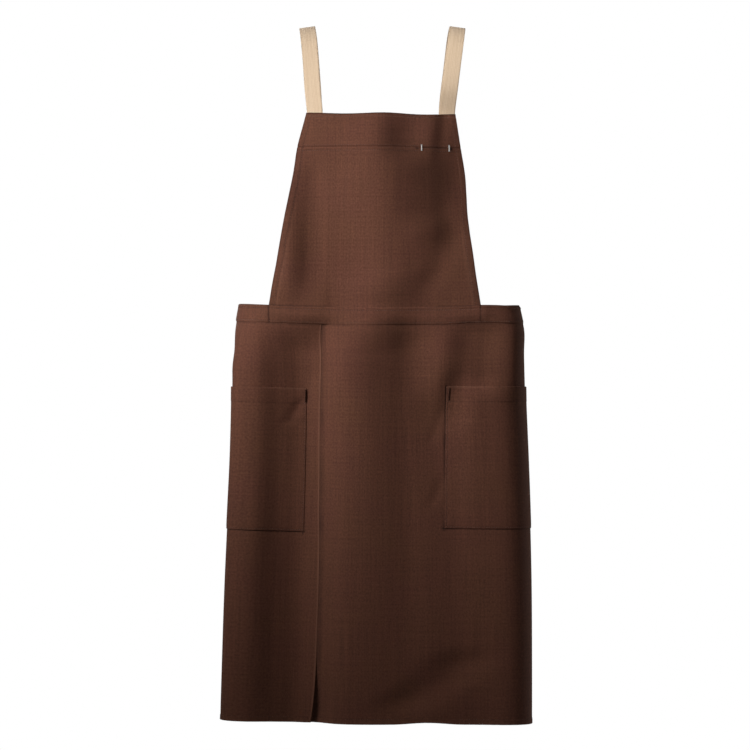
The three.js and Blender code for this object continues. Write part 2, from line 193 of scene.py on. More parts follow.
# Place of the slit's free edge along the thread, by drop
SLIT_PATH = [
    {"drop": 416, "thread": -80.5},
    {"drop": 525, "thread": -85.0},
    {"drop": 665, "thread": -84.0},
    {"drop": 750, "thread": -82.5},
    {"drop": 888, "thread": -84.8},
    {"drop": 946, "thread": -87.2},
    {"drop": 985, "thread": -92.0},
]

# Middle lines of the straps over the shoulders: distance out from the centre and depth, by drop
STRAP_ROUTE = [
    {"drop": 88, "left": 94.5, "left_depth": -80, "right": 98, "right_depth": -63},
    {"drop": 52, "left": 97, "left_depth": -63, "right": 102.5, "right_depth": -55},
    {"drop": 15, "left": 100.5, "left_depth": -36, "right": 107.5, "right_depth": -33},
    {"drop": 0, "left": 102.8, "left_depth": 0, "right": 109.5, "right_depth": 0},
    {"drop": 15, "left": 100.5, "left_depth": 34, "right": 106.5, "right_depth": 34},
    {"drop": 54, "left": 97, "left_depth": 58, "right": 101.5, "right_depth": 58},
    {"drop": 112, "left": 93.5, "left_depth": 77, "right": 95, "right_depth": 77},
    {"drop": 195, "left": 95, "left_depth": 92, "right": 96, "right_depth": 92},
    {"drop": 285, "left": 99, "left_depth": 98, "right": 100, "right_depth": 98},
]
STRAP_AT_BIB = {"left": -91.5, "right": 105.0}
STRAP_LEVEL = {"left": 0.0, "right": 1.0}  # how far each strap turns level above the bib
STRAP_TWIST_ROOM = 3.0  # how far a turned strap stands back from the bib's top
STRAP_TUCK = 30.0  # length sewn behind the band of the bib
STRAP_FROM_BACK_EDGE = 13.0
SHOULDER_SLOPE = math.radians(8)
SHOULDER_REACH = 70.0
STRAP_POINTS = 221
# Columns across a strap, as shares of half its width, and which way each side lies
STRAP_COLUMNS = (-1.0, -0.94, -0.8, -0.55, -0.25, 0.0, 0.25, 0.55, 0.8, 0.94, 1.0)
HAND = {"left": -1.0, "right": 1.0}

PLAN_STEPS = 720  # steps round the form's plan
NORMAL_REACH = 3.0  # half the stretch of cloth over which its direction is taken
FINE_STEPS = (-2.4, -1.5, -0.8, 0.0, 0.8, 1.5, 2.4)  # finer places beside a seam or an edge
LEAST_STEP = 0.45  # closest that two rows or columns may lie
RIM_BULGE = 0.3  # how far a rim stands out, as a share of the cloth's thickness
INSIDE_SHADE = 0.5  # strength of the painted seam shade, and of the wear and painted highlights, on an inner face
SHARP_ANGLE = math.radians(55)  # edges sharper than this keep a hard line


def smooth(value, low, high):
    """0 below low, 1 above high and a soft step between."""
    t = np.clip((np.asarray(value, float) - low) / (high - low), 0.0, 1.0)
    return t * t * (3.0 - 2.0 * t)


def bump(value, middle, half):
    """1 at the middle, falling softly to 0 at half to each side."""
    aside = np.clip((np.asarray(value, float) - middle) / half, -1.0, 1.0)
    return (1.0 - aside * aside) ** 3


def mix(a, b, share):
    """a at share 0, b at share 1."""
    return a + (b - a) * share


def table_value(table, column, drop):
    """A column of a table at one drop, on a smooth curve through its rows."""
    last = len(table) - 1
    i = 0
    while i < last - 1 and table[i + 1]["drop"] < drop:
        i += 1

    def slope(k):
        low, high = table[max(k - 1, 0)], table[min(k + 1, last)]
        return (high[column] - low[column]) / (high["drop"] - low["drop"])

    a, b = table[i], table[i + 1]
    span = b["drop"] - a["drop"]
    t = min(max((drop - a["drop"]) / span, 0.0), 1.0)
    rise = b[column] - a[column]
    bend = t * (1 - t) * ((1 - t) * (slope(i) * span - rise) - t * (slope(i + 1) * span - rise))
    return a[column] + rise * t + bend


OUTLINES = {}


def outline_at(drop):
    """The form's plan outline at a drop: points and the length along them from the front centre line."""
    if drop not in OUTLINES:
        left, right, front, back = (table_value(FORM, c, drop) for c in ("left", "right", "front", "back"))
        angle = np.linspace(-math.pi, math.pi, PLAN_STEPS + 1)
        across = np.sin(angle) / np.where(angle < 0, left, right)
        along = np.cos(angle) / np.where(np.abs(angle) < math.pi / 2, front, back)
        corner = np.where(angle < 0, table_value(CORNERS, "left", drop), table_value(CORNERS, "right", drop))
        square = np.where(np.abs(angle) < math.pi / 2, corner, BACK_SQUARENESS)
        reach = (np.abs(across) ** square + np.abs(along) ** square) ** (-1 / square)
        x, y = reach * np.sin(angle), -reach * np.cos(angle)
        length = np.concatenate([[0.0], np.cumsum(np.hypot(np.diff(x), np.diff(y)))])
        length -= length[PLAN_STEPS // 2]
        OUTLINES[drop] = {"left": left, "right": right, "x": x, "y": y, "length": length}
    return OUTLINES[drop]


def length_of_thread(drop, thread):
    """Below the waist a thread line moves out with the flare of the skirt."""
    if drop <= WAIST_SEAM:
        return thread
    left = table_value(FORM, "left", drop) / table_value(FORM, "left", WAIST_SEAM)
    right = table_value(FORM, "right", drop) / table_value(FORM, "right", WAIST_SEAM)
    return np.where(thread < 0, thread * left, thread * right)


def thread_at_across(drop, across):
    """Thread place on the front of the form that lies at a distance across."""
    o = outline_at(drop)
    front = slice(PLAN_STEPS // 4, 3 * PLAN_STEPS // 4 + 1)
    return float(np.interp(across, o["x"][front], o["length"][front]))


def fold_rise(drop, thread):
    """How far the folds carry the cloth out of the plain form."""
    total = np.zeros_like(thread)
    for fold in FOLDS.values():
        start, end = fold["drops"]
        share = min(max((drop - start) / (end - start), 0.0), 1.0)
        strength = smooth(drop, start - fold["fade"], start) * (1 - smooth(drop, end, end + fold["fade"]))
        if strength > 0:
            place, rise = mix(*fold["at"], share), mix(*fold["rise"], share)
            total += strength * rise * bump(thread, place, fold["half"])
    return total


def crease_rise(drop, thread):
    """The same for the fine creases, which fade toward both ends of their paths."""
    total = np.zeros_like(thread)
    for crease in CREASES.values():
        drops, places = zip(*crease["path"])
        to_end = min(drop - drops[0], drops[-1] - drop) / (drops[-1] - drops[0])
        if to_end > 0:
            strength = crease["rise"] * smooth(to_end, 0.0, CREASE_FADE)
            total += strength * bump(thread, np.interp(drop, drops, places), crease["half"])
    return total


def folded_plan(drop, thread, creased=True):
    """Plan points of the form with its folds, and the plain form's distance across there."""
    o = outline_at(drop)
    s = length_of_thread(drop, thread)
    x, y = np.interp(s, o["length"], o["x"]), np.interp(s, o["length"], o["y"])
    ahead, behind = s + NORMAL_REACH, s - NORMAL_REACH
    ax = np.interp(ahead, o["length"], o["x"]) - np.interp(behind, o["length"], o["x"])
    ay = np.interp(ahead, o["length"], o["y"]) - np.interp(behind, o["length"], o["y"])
    rise = fold_rise(drop, thread) + (crease_rise(drop, thread) if creased else 0.0)
    rise = rise / np.hypot(ax, ay)
    return x + ay * rise, y - ax * rise, x


def cloth_row(drop, thread, outside):
    """Points of the hanging cloth at one drop, at distances square to the folded form."""
    o = outline_at(drop)
    x, y, plain = folded_plan(drop, thread)
    x0, y0, _ = folded_plan(drop, thread - NORMAL_REACH)
    x1, y1, _ = folded_plan(drop, thread + NORMAL_REACH)
    ax, ay = x1 - x0, y1 - y0
    size = np.hypot(ax, ay)
    side = np.clip(np.where(plain < 0, -plain / o["left"], plain / o["right"]), 0, 1) ** 2
    hang = [table_value(HANG, c, drop) for c in ("left", "front", "right")]
    z = -drop - mix(hang[1], np.where(plain < 0, hang[0], hang[2]), side)
    return np.stack([x + ay / size * outside, y - ax / size * outside, z], axis=-1)


def cloth_point(drop, thread, outside):
    """One point of the hanging cloth."""
    return cloth_row(float(drop), np.array([float(thread)]), np.array([float(outside)]))[0]


def cloth_grid(drops, threads, outside, lower=None):
    """Rows of cloth points. threads and outside are given for each row and column."""
    rows = [cloth_row(float(d), t, o) for d, t, o in zip(drops, threads, outside)]
    grid = np.array(rows)
    if lower is not None:
        grid[..., 2] -= lower
    return grid


def stations(low, high, step, near=()):
    """Places from low to high about a step apart, with finer ones beside each place in near."""
    places = list(np.linspace(low, high, max(2, int(round((high - low) / step)) + 1)))
    for n in near:
        places += [n + d for d in FINE_STEPS]
    places = sorted(p for p in places if low <= p <= high)
    kept = [low]
    for p in places[1:-1]:
        if min(p - kept[-1], high - p) > LEAST_STEP:
            kept.append(p)
    return np.array(kept + [high])


def ripple(place, seed, wave=11.0):
    """A soft uneven ripple along a seam, from -1 to 1."""
    rng = np.random.default_rng(seed)
    total = np.zeros_like(np.asarray(place, float))
    for k in range(4):
        length = wave * rng.uniform(0.7, 1.9)
        total += np.sin(2 * math.pi * (place / length + rng.uniform())) * (0.5 if k else 0.8)
    return total / 2.0


# Meshes

def add_object(name, points, faces, uv, material, shades=None):
    """A mesh object in metres with UVs in metres and optional shade values on its points."""
    mesh = bpy.data.meshes.new(name)
    mesh.from_pydata((points * MM).tolist(), [], faces)
    layer = mesh.uv_layers.new(name="cloth")
    index = np.empty(len(mesh.loops), dtype=np.int32)
    mesh.loops.foreach_get("vertex_index", index)
    layer.data.foreach_set("uv", (uv[index] * MM).astype(np.float32).ravel())
    for key, values in (shades or {}).items():
        attribute = mesh.attributes.new(name=key, type="FLOAT", domain="POINT")
        attribute.data.foreach_set("value", np.asarray(values, np.float32).ravel())
    mesh.shade_smooth()
    mesh.set_sharp_from_angle(angle=SHARP_ANGLE)
    mesh.materials.append(material)
    obj = bpy.data.objects.new(name, mesh)
    bpy.context.scene.collection.objects.link(obj)
    return obj


def edge_of(rows, cols):
    """Rows and columns of the points round the edge of a grid, in order."""
    ring = [(0, j) for j in range(cols)] + [(i, cols - 1) for i in range(1, rows)]
    ring += [(rows - 1, j) for j in range(cols - 2, -1, -1)] + [(i, 0) for i in range(rows - 2, 0, -1)]
    return np.array(ring).T


def wall_faces(rows, cols, edge):
    """Faces of a wall whose points are an outer grid, an inner grid and a rim beyond their edge."""
    count = rows * cols
    corner = (np.arange(rows - 1)[:, None] * cols + np.arange(cols - 1)).ravel()
    outer = np.stack([corner, corner + cols, corner + cols + 1, corner + 1], axis=1)
    inner = outer[:, [0, 3, 2, 1]] + count
    rim = 2 * count + np.arange(len(edge))
    edge_next, rim_next = np.roll(edge, -1), np.roll(rim, -1)
    outer_rim = np.stack([edge, edge_next, rim_next, rim], axis=1)
    inner_rim = np.stack([rim, rim_next, count + edge_next, count + edge], axis=1)
    pairs = ((outer, inner), (outer_rim, inner_rim))
    return np.concatenate([np.stack(pair, axis=1).reshape(-1, 4) for pair in pairs]).tolist()


def cloth_wall(name, inner, outer, uv, material, seam_shade_and_soil=0.0, wear_and_highlight=0.0):
    """A closed wall of cloth between two grids of points, with a rounded rim."""
    rows, cols = outer.shape[:2]
    i, j = edge_of(rows, cols)
    edge = i * cols + j
    middle = (inner + outer) / 2
    outward = middle[i, j] - middle[np.clip(i, 1, rows - 2), np.clip(j, 1, cols - 2)]
    size = np.linalg.norm(outward, axis=1, keepdims=True)
    thick = np.linalg.norm(outer[i, j] - inner[i, j], axis=1, keepdims=True)
    rim = middle[i, j] + outward / np.maximum(size, 1e-6) * thick * RIM_BULGE
    points = np.concatenate([outer.reshape(-1, 3), inner.reshape(-1, 3), rim])
    flat = uv.reshape(-1, 2)
    all_uv = np.concatenate([flat, flat, flat[edge]])

    def spread(shade):
        """A shade of the outer face on all points, weaker inside."""
        values = np.broadcast_to(shade, (rows, cols)).ravel()
        return np.concatenate([values, values * INSIDE_SHADE, values[edge]])

    # Two marks on the points: painted shade along seams, gaps and edges (soiled edges on the straps), and
    # wear together with painted highlights along edges
    shades = {"seam_shade_and_soil": spread(seam_shade_and_soil), "wear_and_highlight": spread(wear_and_highlight)}
    return add_object(name, points, wall_faces(rows, cols, edge), all_uv, material, shades)


def stitch_tree():
    """Node tree that lays a thread stitch at every pitch along the seam lines it is given."""
    tree = bpy.data.node_groups.new("lay_stitches", "GeometryNodeTree")
    sockets = tree.interface
    sockets.new_socket("Seam lines", in_out="INPUT", socket_type="NodeSocketGeometry")
    for name in ("Pitch", "Stitch length", "Thread radius"):
        sockets.new_socket(name, in_out="INPUT", socket_type="NodeSocketFloat")
    sockets.new_socket("Seed", in_out="INPUT", socket_type="NodeSocketInt")
    sockets.new_socket("Thread", in_out="INPUT", socket_type="NodeSocketMaterial")
    sockets.new_socket("Stitches", in_out="OUTPUT", socket_type="NodeSocketGeometry")

    node = tree.nodes.new
    given, result = node("NodeGroupInput"), node("NodeGroupOutput")
    curve = node("GeometryNodeMeshToCurve")
    points = node("GeometryNodeResampleCurve")
    points.mode = "LENGTH"
    ball = node("GeometryNodeMeshUVSphere")
    ball.inputs["Segments"].default_value = 6
    ball.inputs["Rings"].default_value = 5
    ball.inputs["Radius"].default_value = 1.0
    half = node("ShaderNodeMath")
    half.operation = "MULTIPLY"
    half.inputs[1].default_value = 0.5
    size = node("ShaderNodeCombineXYZ")
    thread = node("GeometryNodeTransform")
    tangent = node("GeometryNodeInputTangent")
    turn = node("FunctionNodeAlignRotationToVector")
    turn.axis = "Z"
    vary = node("FunctionNodeRandomValue")
    vary.data_type = "FLOAT"
    vary.inputs[2].default_value = 0.88
    vary.inputs[3].default_value = 1.08
    place = node("GeometryNodeInstanceOnPoints")
    real = node("GeometryNodeRealizeInstances")
    soft = node("GeometryNodeSetShadeSmooth")
    paint = node("GeometryNodeSetMaterial")
    for source, output, target, socket in (
        (given, "Seam lines", curve, "Mesh"),
        (curve, "Curve", points, "Curve"),
        (given, "Pitch", points, "Length"),
        (given, "Thread radius", size, "X"),
        (given, "Thread radius", size, "Y"),
        (given, "Stitch length", half, 0),
        (half, 0, size, "Z"),
        (ball, "Mesh", thread, "Geometry"),
        (size, "Vector", thread, "Scale"),
        (tangent, "Tangent", turn, "Vector"),
        (given, "Seed", vary, "Seed"),
        (points, "Curve", place, "Points"),
        (thread, "Geometry", place, "Instance"),
        (turn, "Rotation", place, "Rotation"),
        (vary, 1, place, "Scale"),
        (place, "Instances", real, "Geometry"),
        (real, "Geometry", soft, "Geometry"),
        (soft, "Geometry", paint, "Geometry"),
        (given, "Thread", paint, "Material"),
        (paint, "Geometry", result, "Stitches"),
    ):
        tree.links.new(source.outputs[output], target.inputs[socket])
    return tree


STITCHES = stitch_tree()


def sew(name, lines, material, seed):
    """A piece holding the stitches along seam lines, each an array of points."""
    points, edges = [], []
    for line in lines:
        start = len(points)
        points += (np.asarray(line) * MM).tolist()
        edges += [(start + k, start + k + 1) for k in range(len(line) - 1)]
    guide_mesh = bpy.data.meshes.new(name + "_lines")
    guide_mesh.from_pydata(points, edges, [])
    guide = bpy.data.objects.new(name + "_lines", guide_mesh)
    bpy.context.scene.collection.objects.link(guide)
    layer = guide.modifiers.new("stitches", "NODES")
    layer.node_group = STITCHES
    values = {
        "Pitch": STITCH_PITCH * MM,
        "Stitch length": STITCH_LENGTH * MM,
        "Thread radius": STITCH_RADIUS * MM,
        "Seed": seed,
        "Thread": material,
    }
    for item in STITCHES.interface.items_tree:
        if item.in_out == "INPUT" and item.name in values:
            layer[item.identifier] = values[item.name]
    graph = bpy.context.evaluated_depsgraph_get()
    mesh = bpy.data.meshes.new_from_object(guide.evaluated_get(graph))
    mesh.name = name
    obj = bpy.data.objects.new(name, mesh)
    bpy.context.scene.collection.objects.link(obj)
    bpy.data.objects.remove(guide)
    bpy.data.meshes.remove(guide_mesh)
    return obj


def thread_tube(name, paths, radius, material, sides=6):
    """Thread laid along paths of points, as closed tubes."""
    points, faces = [], []
    for path in paths:
        path = np.asarray(path, float)
        ahead = np.gradient(path, axis=0)
        ahead /= np.linalg.norm(ahead, axis=1, keepdims=True)
        base = len(points)
        for p, t in zip(path, ahead):
            across = np.cross(t, (0.0, 1.0, 0.0))
            across /= max(np.linalg.norm(across), 1e-9)
            up = np.cross(across, t)
            for k in range(sides):
                a = 2 * math.pi * k / sides
                points.append(p + radius * (math.cos(a) * across + math.sin(a) * up))
        for i in range(len(path) - 1):
            for k in range(sides):
                a, b = base + i * sides + k, base + i * sides + (k + 1) % sides
                faces.append((a, b, b + sides, a + sides))
        faces.append(tuple(base + k for k in reversed(range(sides))))
        faces.append(tuple(base + (len(path) - 1) * sides + k for k in range(sides)))
    points = np.array(points)
    return add_object(name, points, faces, points[:, [0, 2]], material)


def bar_tack(foot, head, width, out):
    """Zigzag path of a bar tack between two points, lying just outside the cloth."""
    foot, head, out = (np.asarray(v, float) for v in (foot, head, out))
    along = head - foot
    length = np.linalg.norm(along)
    across = np.cross(along / length, out)
    turns = int(length / TACK_PITCH)
    path = []
    for k in range(turns + 1):
        side = width / 2 if k % 2 else -width / 2
        path.append(foot + along * k / turns + across * side * 0.5 + out * 0.35)
        path.append(foot + along * (k + 0.3) / turns + across * side + out * 0.1)
    return path


# Finishes

class Finish:
    """A material's node tree, with a short call for each kind of node that the finishes use."""

    def __init__(self, name):
        self.material = bpy.data.materials.new(name)
        self.material.use_nodes = True
        tree = self.material.node_tree
        tree.nodes.clear()
        self.new = tree.nodes.new
        self.link = tree.links.new
        self.shader = self.new("ShaderNodeBsdfPrincipled")
        output = self.new("ShaderNodeOutputMaterial")
        self.link(self.shader.outputs["BSDF"], output.inputs["Surface"])

    def put(self, socket, value):
        """Give a socket a number, a colour or another node's output."""
        if isinstance(value, (int, float)):
            socket.default_value = value
        elif isinstance(value, tuple):
            socket.default_value = (*value, 1.0)
        else:
            self.link(value, socket)

    def surface(self, values):
        """Set the shader's own sockets."""
        for name, value in values.items():
            self.put(self.shader.inputs[name], value)

    def object_place(self):
        return self.new("ShaderNodeTexCoord").outputs["Object"]

    def cloth_place(self):
        """The piece's own coordinates in metres, together, across and along."""
        uv = self.new("ShaderNodeUVMap")
        uv.uv_map = "cloth"
        parts = self.new("ShaderNodeSeparateXYZ")
        self.link(uv.outputs["UV"], parts.inputs[0])
        return uv.outputs["UV"], parts.outputs["X"], parts.outputs["Y"]

    def attribute(self, name):
        node = self.new("ShaderNodeAttribute")
        node.attribute_name = name
        return node.outputs["Fac"]

    def math(self, operation, a, b=0.0):
        node = self.new("ShaderNodeMath")
        node.operation = operation
        self.put(node.inputs[0], a)
        self.put(node.inputs[1], b)
        return node.outputs[0]

    def blend(self, *terms):
        """Sum of node outputs, each times its weight."""
        total = None
        for output, weight in terms:
            term = self.math("MULTIPLY", output, weight)
            total = term if total is None else self.math("ADD", total, term)
        return total

    def ribs(self, *directions):
        """Ribs from -1 to 1 over one or two coordinates, each with its pitch in metres."""
        return self.math("SINE", self.blend(*((place, 2 * math.pi / pitch) for place, pitch in directions)))

    def noise(self, place, scale, detail=2.0):
        node = self.new("ShaderNodeTexNoise")
        node.inputs["Scale"].default_value = scale
        node.inputs["Detail"].default_value = detail
        self.link(place, node.inputs["Vector"])
        return node.outputs["Fac"]

    def weave(self, uv, across, along, detail=2.0):
        """Noise on the cloth's own coordinates, with so many cells per metre each way."""
        stretch = self.new("ShaderNodeVectorMath")
        stretch.operation = "MULTIPLY"
        stretch.inputs[1].default_value = (across, along, 1.0)
        self.link(uv, stretch.inputs[0])
        return self.noise(stretch.outputs[0], 1.0, detail)

    def remap(self, value, given, wanted):
        """A value carried from one range to another."""
        node = self.new("ShaderNodeMapRange")
        for name, number in zip(("From Min", "From Max", "To Min", "To Max"), (*given, *wanted)):
            node.inputs[name].default_value = number
        self.link(value, node.inputs["Value"])
        return node.outputs["Result"]

    def ramp(self, value, *stops):
        """Colour by a value, through stops of place and colour."""
        node = self.new("ShaderNodeValToRGB")
        elements = node.color_ramp.elements
        while len(elements) < len(stops):
            elements.new(0.5)
        for element, (place, colour) in zip(elements, stops):
            element.position = place
            element.color = (*colour, 1.0)
        self.link(value, node.inputs["Fac"])
        return node.outputs["Color"]

    def mix(self, share, a, b, blend="MIX"):
        node = self.new("ShaderNodeMix")
        node.data_type = "RGBA"
        node.blend_type = blend
        for socket, value in ((node.inputs["Factor"], share), (node.inputs[6], a), (node.inputs[7], b)):
            self.put(socket, value)
        return node.outputs[2]

    def relief(self, height, strength, distance):
        node = self.new("ShaderNodeBump")
        node.inputs["Strength"].default_value = strength
        node.inputs["Distance"].default_value = distance
        self.link(height, node.inputs["Height"])
        self.link(node.outputs["Normal"], self.shader.inputs["Normal"])


RED_BROWN = (0.1225, 0.0452, 0.0284)
WARM_BROWN = (0.1245, 0.0485, 0.0276)
# Lighter brown for worn edges and for painted highlights; near-black brown for painted shade along seams,
# gaps and edges
WEAR_AND_HIGHLIGHT_BROWN = (0.23, 0.105, 0.066)
SEAM_SHADE_BROWN = (0.018, 0.007, 0.005)
BROWN_SHEEN = (0.55, 0.38, 0.30)


def twill_material():
    """Matt brown work twill: slubby upright yarns, a fine diagonal rib, worn edges with painted highlights,
    and painted shade along seams, gaps and edges.
    """
    twill = Finish("brown_twill")
    uv, across, along = twill.cloth_place()
    yarn = twill.weave(uv, 430.0, 11.0, 3.0)
    slub = twill.weave(uv, 190.0, 5.0)
    weft = twill.weave(uv, 12.0, 420.0)
    fleck = twill.weave(uv, 480.0, 330.0)
    dye = twill.noise(twill.object_place(), 16.0, 3.0)
    colour = twill.ramp(dye, (0.3, RED_BROWN), (0.7, WARM_BROWN))
    shade = twill.blend((yarn, 0.6), (slub, 0.2), (weft, 0.4), (fleck, 1.1))
    colour = twill.mix(1.0, colour, twill.remap(shade, (0.65, 1.65), (0.6, 1.4)), "MULTIPLY")
    # Wear and painted highlights: lighter brown along worn edges and where folded edges catch the light,
    # broken up by the yarns
    rubbed_and_lit = twill.math("MULTIPLY", twill.attribute("wear_and_highlight"), yarn)
    colour = twill.mix(rubbed_and_lit, colour, WEAR_AND_HIGHLIGHT_BROWN)
    patchy = twill.remap(twill.weave(uv, 28.0, 28.0), (0.3, 0.7), (0.45, 1.3))
    # Painted shade: near-black brown, in uneven patches, along seams, gaps, hems and the pen slot's ends,
    # where shadows fall
    dark = twill.math("MULTIPLY", twill.attribute("seam_shade_and_soil"), patchy)
    rib = twill.ribs((across, 0.0011), (along, 0.0019))
    twill.relief(twill.blend((rib, 0.25), (yarn, 1.0), (weft, 0.6)), strength=0.35, distance=0.0004)
    twill.surface({
        "Base Color": twill.mix(dark, colour, SEAM_SHADE_BROWN),
        "Roughness": twill.remap(yarn, (0.0, 1.0), (0.78, 0.95)),
        "Specular IOR Level": 0.18,
        "Sheen Weight": 0.12,
        "Sheen Roughness": 0.5,
        "Sheen Tint": BROWN_SHEEN,
    })
    return twill.material


STREAK_BEIGES = ((0.25, (0.60, 0.435, 0.285)), (0.5, (0.68, 0.510, 0.350)), (0.75, (0.74, 0.575, 0.410)))
FLECK_BEIGES = ((0.3, (0.62, 0.455, 0.305)), (0.7, (0.73, 0.565, 0.405)))
GROOVE_SHADE_BEIGE = (0.40, 0.27, 0.165)
SOILED_BEIGE = (0.42, 0.29, 0.19)


def webbing_material():
    """Beige cotton webbing: lengthwise cords, fine cross picks, painted shade in the grooves between cords
    and slightly soiled edges.
    """
    webbing = Finish("beige_webbing")
    uv, across, along = webbing.cloth_place()
    cord = webbing.ribs((across, 0.0022))
    pick = webbing.ribs((along, 0.0013))
    streak = webbing.weave(uv, 420.0, 10.0, 3.0)
    fleck = webbing.weave(uv, 300.0, 420.0)
    colour = webbing.mix(0.3, webbing.ramp(streak, *STREAK_BEIGES), webbing.ramp(fleck, *FLECK_BEIGES))
    # Painted shade: darker beige in the grooves between the cords
    groove_shade = webbing.remap(cord, (-1.0, -0.4), (0.16, 0.0))
    colour = webbing.mix(groove_shade, colour, GROOVE_SHADE_BEIGE)
    webbing.relief(webbing.blend((cord, 1.0), (pick, 0.5), (streak, 0.8)), strength=0.4, distance=0.0003)
    webbing.surface({
        "Base Color": webbing.mix(webbing.attribute("seam_shade_and_soil"), colour, SOILED_BEIGE),
        "Roughness": webbing.remap(streak, (0.0, 1.0), (0.7, 0.9)),
        "Specular IOR Level": 0.25,
        "Sheen Weight": 0.1,
    })
    return webbing.material


def thread_material(name, dark, light, sheen=0.15, gloss=0.3):
    """Sewing thread, with a fine uneven twist."""
    thread = Finish(name)
    twist = thread.noise(thread.object_place(), 900.0)
    thread.relief(twist, strength=0.3, distance=0.0002)
    thread.surface({
        "Base Color": thread.ramp(twist, (0.3, dark), (0.7, light)),
        "Roughness": 0.75,
        "Specular IOR Level": gloss,
        "Sheen Weight": sheen,
    })
    return thread.material


def floor_material():
    """Pale, matt and nearly even."""
    floor = Finish("pale_floor")
    cloudy = floor.noise(floor.object_place(), 3.0)
    floor.surface({
        "Base Color": floor.ramp(cloudy, (0.3, (0.80, 0.80, 0.79)), (0.7, (0.84, 0.84, 0.83))),
        "Roughness": 0.9,
    })
    return floor.material


TWILL = twill_material()
WEBBING = webbing_material()
BROWN_THREAD = thread_material("brown_thread", (0.090, 0.036, 0.023), (0.170, 0.075, 0.048))
DARK_THREAD = thread_material("dark_thread", (0.008, 0.003, 0.002), (0.016, 0.006, 0.004), 0.0, 0.03)
WHITE_THREAD = thread_material("white_thread", (0.72, 0.70, 0.66), (0.92, 0.91, 0.88))


# Layers: distance of each inner face outside the form

def covered(thread, start, end):
    """1 between two threads, falling to 0 over a layer's climb outside them."""
    return smooth(thread, start - LAYER_RAMP, start) * (1 - smooth(thread, end, end + LAYER_RAMP))


def over_inner(thread):
    """The skirt's upper panel, which climbs onto the panel below."""
    return LAYER * covered(thread, UNDER_EDGE, SLIT_EDGE)


def skirt_outer(thread):
    return CLOTH + over_inner(thread)


def bib_inner(drop, thread):
    """The bib, which climbs onto the top of the skirt."""
    return (skirt_outer(thread) + GAP) * smooth(drop, WAIST_TOP - BIB_CLIMB, WAIST_TOP - BIB_CLIMB / 5)


def bib_edges(drop):
    """Threads of the bib's side edges."""
    seen = min(float(drop), WAIST_TOP)
    return tuple(thread_at_across(seen, table_value(BIB_EDGES, side, seen)) for side in ("left", "right"))


BIB_FOOT = bib_edges(WAIST_TOP)


def waistband_inner(thread):
    """The waistband, over the top of the skirt and, between the bib's sides, over the bib."""
    start = math.floor(BIB_FOOT[0] / THREAD_STEP) * THREAD_STEP
    end = math.ceil(BIB_FOOT[1] / THREAD_STEP) * THREAD_STEP
    past_slit = 1 - smooth(thread, SLIT_EDGE, SLIT_EDGE + SLIT_REACH)
    on_under = smooth(thread, UNDER_EDGE - LAYER_RAMP, UNDER_EDGE)
    below = np.maximum(over_inner(thread), LAYER * past_slit * on_under)
    return below + CLOTH + GAP + LAYER * covered(thread, start, end)


def slit_sway(d):
    """How far the slit's free edge lies aside of its place at the waist, by row and column."""
    sway = np.array([SLIT_EDGE - table_value(SLIT_PATH, "thread", float(drop)) for drop in d[:, 0]])
    return np.broadcast_to(sway[:, None], d.shape)


def lifted_inner(d, t):
    """The upper panel with its lower corner standing off the panel below."""
    low = smooth(d, SLIT_LIFT_FROM, HEM)
    return over_inner(t) + SLIT_LIFT * low * smooth(t, SLIT_EDGE - SLIT_LIFT_WIDTH, SLIT_EDGE)


def recessed_inner(d, t):
    """The panel below, which falls back behind the slit toward the hem."""
    beside = t - SLIT_EDGE + slit_sway(d)
    behind = smooth(beside, -SLIT_REACH, -12.0) * (1 - smooth(beside, 0.0, 34.0))
    return -SLIT_RECESS * smooth(d, SLIT_LIFT_FROM, HEM) * behind


def left_pocket_inner(t):
    return over_inner(t) + CLOTH + ON_CLOTH


def right_pocket_inner(t):
    return np.full_like(t, CLOTH + ON_CLOTH)


# Sewn relief and shades, by the distance from an edge or a line

def hem_step(distance, width, height):
    """Extra thickness of a turned hem, with a soft inner step."""
    return height * (1 - smooth(distance, width, width + 1.3))


def mark(distance, strength, half):
    """A shade or a height along a line, which fades over half to each side."""
    return strength * bump(distance, 0.0, half)


def groove(distance, depth=0.3, half=1.3):
    """Dent along a stitch line."""
    return -mark(distance, depth, half)


def thread_shade(distance, strength):
    """Painted shade on the cloth close to a row of stitches."""
    return mark(distance, strength, 0.9)


def nearest(value, first, second):
    """Distance to the nearer of two places."""
    return np.minimum(np.abs(value - first), np.abs(value - second))


def off_middle(thread):
    """0 over the middle of the front, 1 toward both sides."""
    return smooth(np.abs(thread), 50.0, 110.0)


# Pieces

def grids(drops, threads):
    """Drop and thread of each point of a grid, from its rows and its columns or points."""
    threads = np.asarray(threads, float)
    if threads.ndim == 1:
        threads = np.broadcast_to(threads, (len(drops), len(threads))).copy()
    d = np.broadcast_to(np.asarray(drops, float)[:, None], threads.shape)
    return d, threads


def twill_piece(name, drops, t, inner, outer, seam_shade_and_soil, wear_and_highlight=0.0, lower=None):
    """A closed piece of twill between two distances outside the form, with its painted seam shade, and its
    wear and painted highlights.
    """
    uv = np.stack([t, grids(drops, t)[0]], axis=-1)
    faces = [cloth_grid(drops, t, outside, lower) for outside in (inner, outer)]
    return cloth_wall(name, *faces, uv, TWILL, np.clip(seam_shade_and_soil, 0, 1), wear_and_highlight)


def pocket_down(d, pocket):
    """0 at a pocket's mouth, 1 at its foot."""
    return np.clip((d - pocket["top"]) / (pocket["foot"] - pocket["top"]), 0, 1)


def outer_share(t, pocket):
    """0 at a pocket's free side, 1 at its outer side."""
    share = np.clip((t - pocket["from"]) / (pocket["to"] - pocket["from"]), 0, 1)
    return 1 - share if pocket["to"] < 0 else share


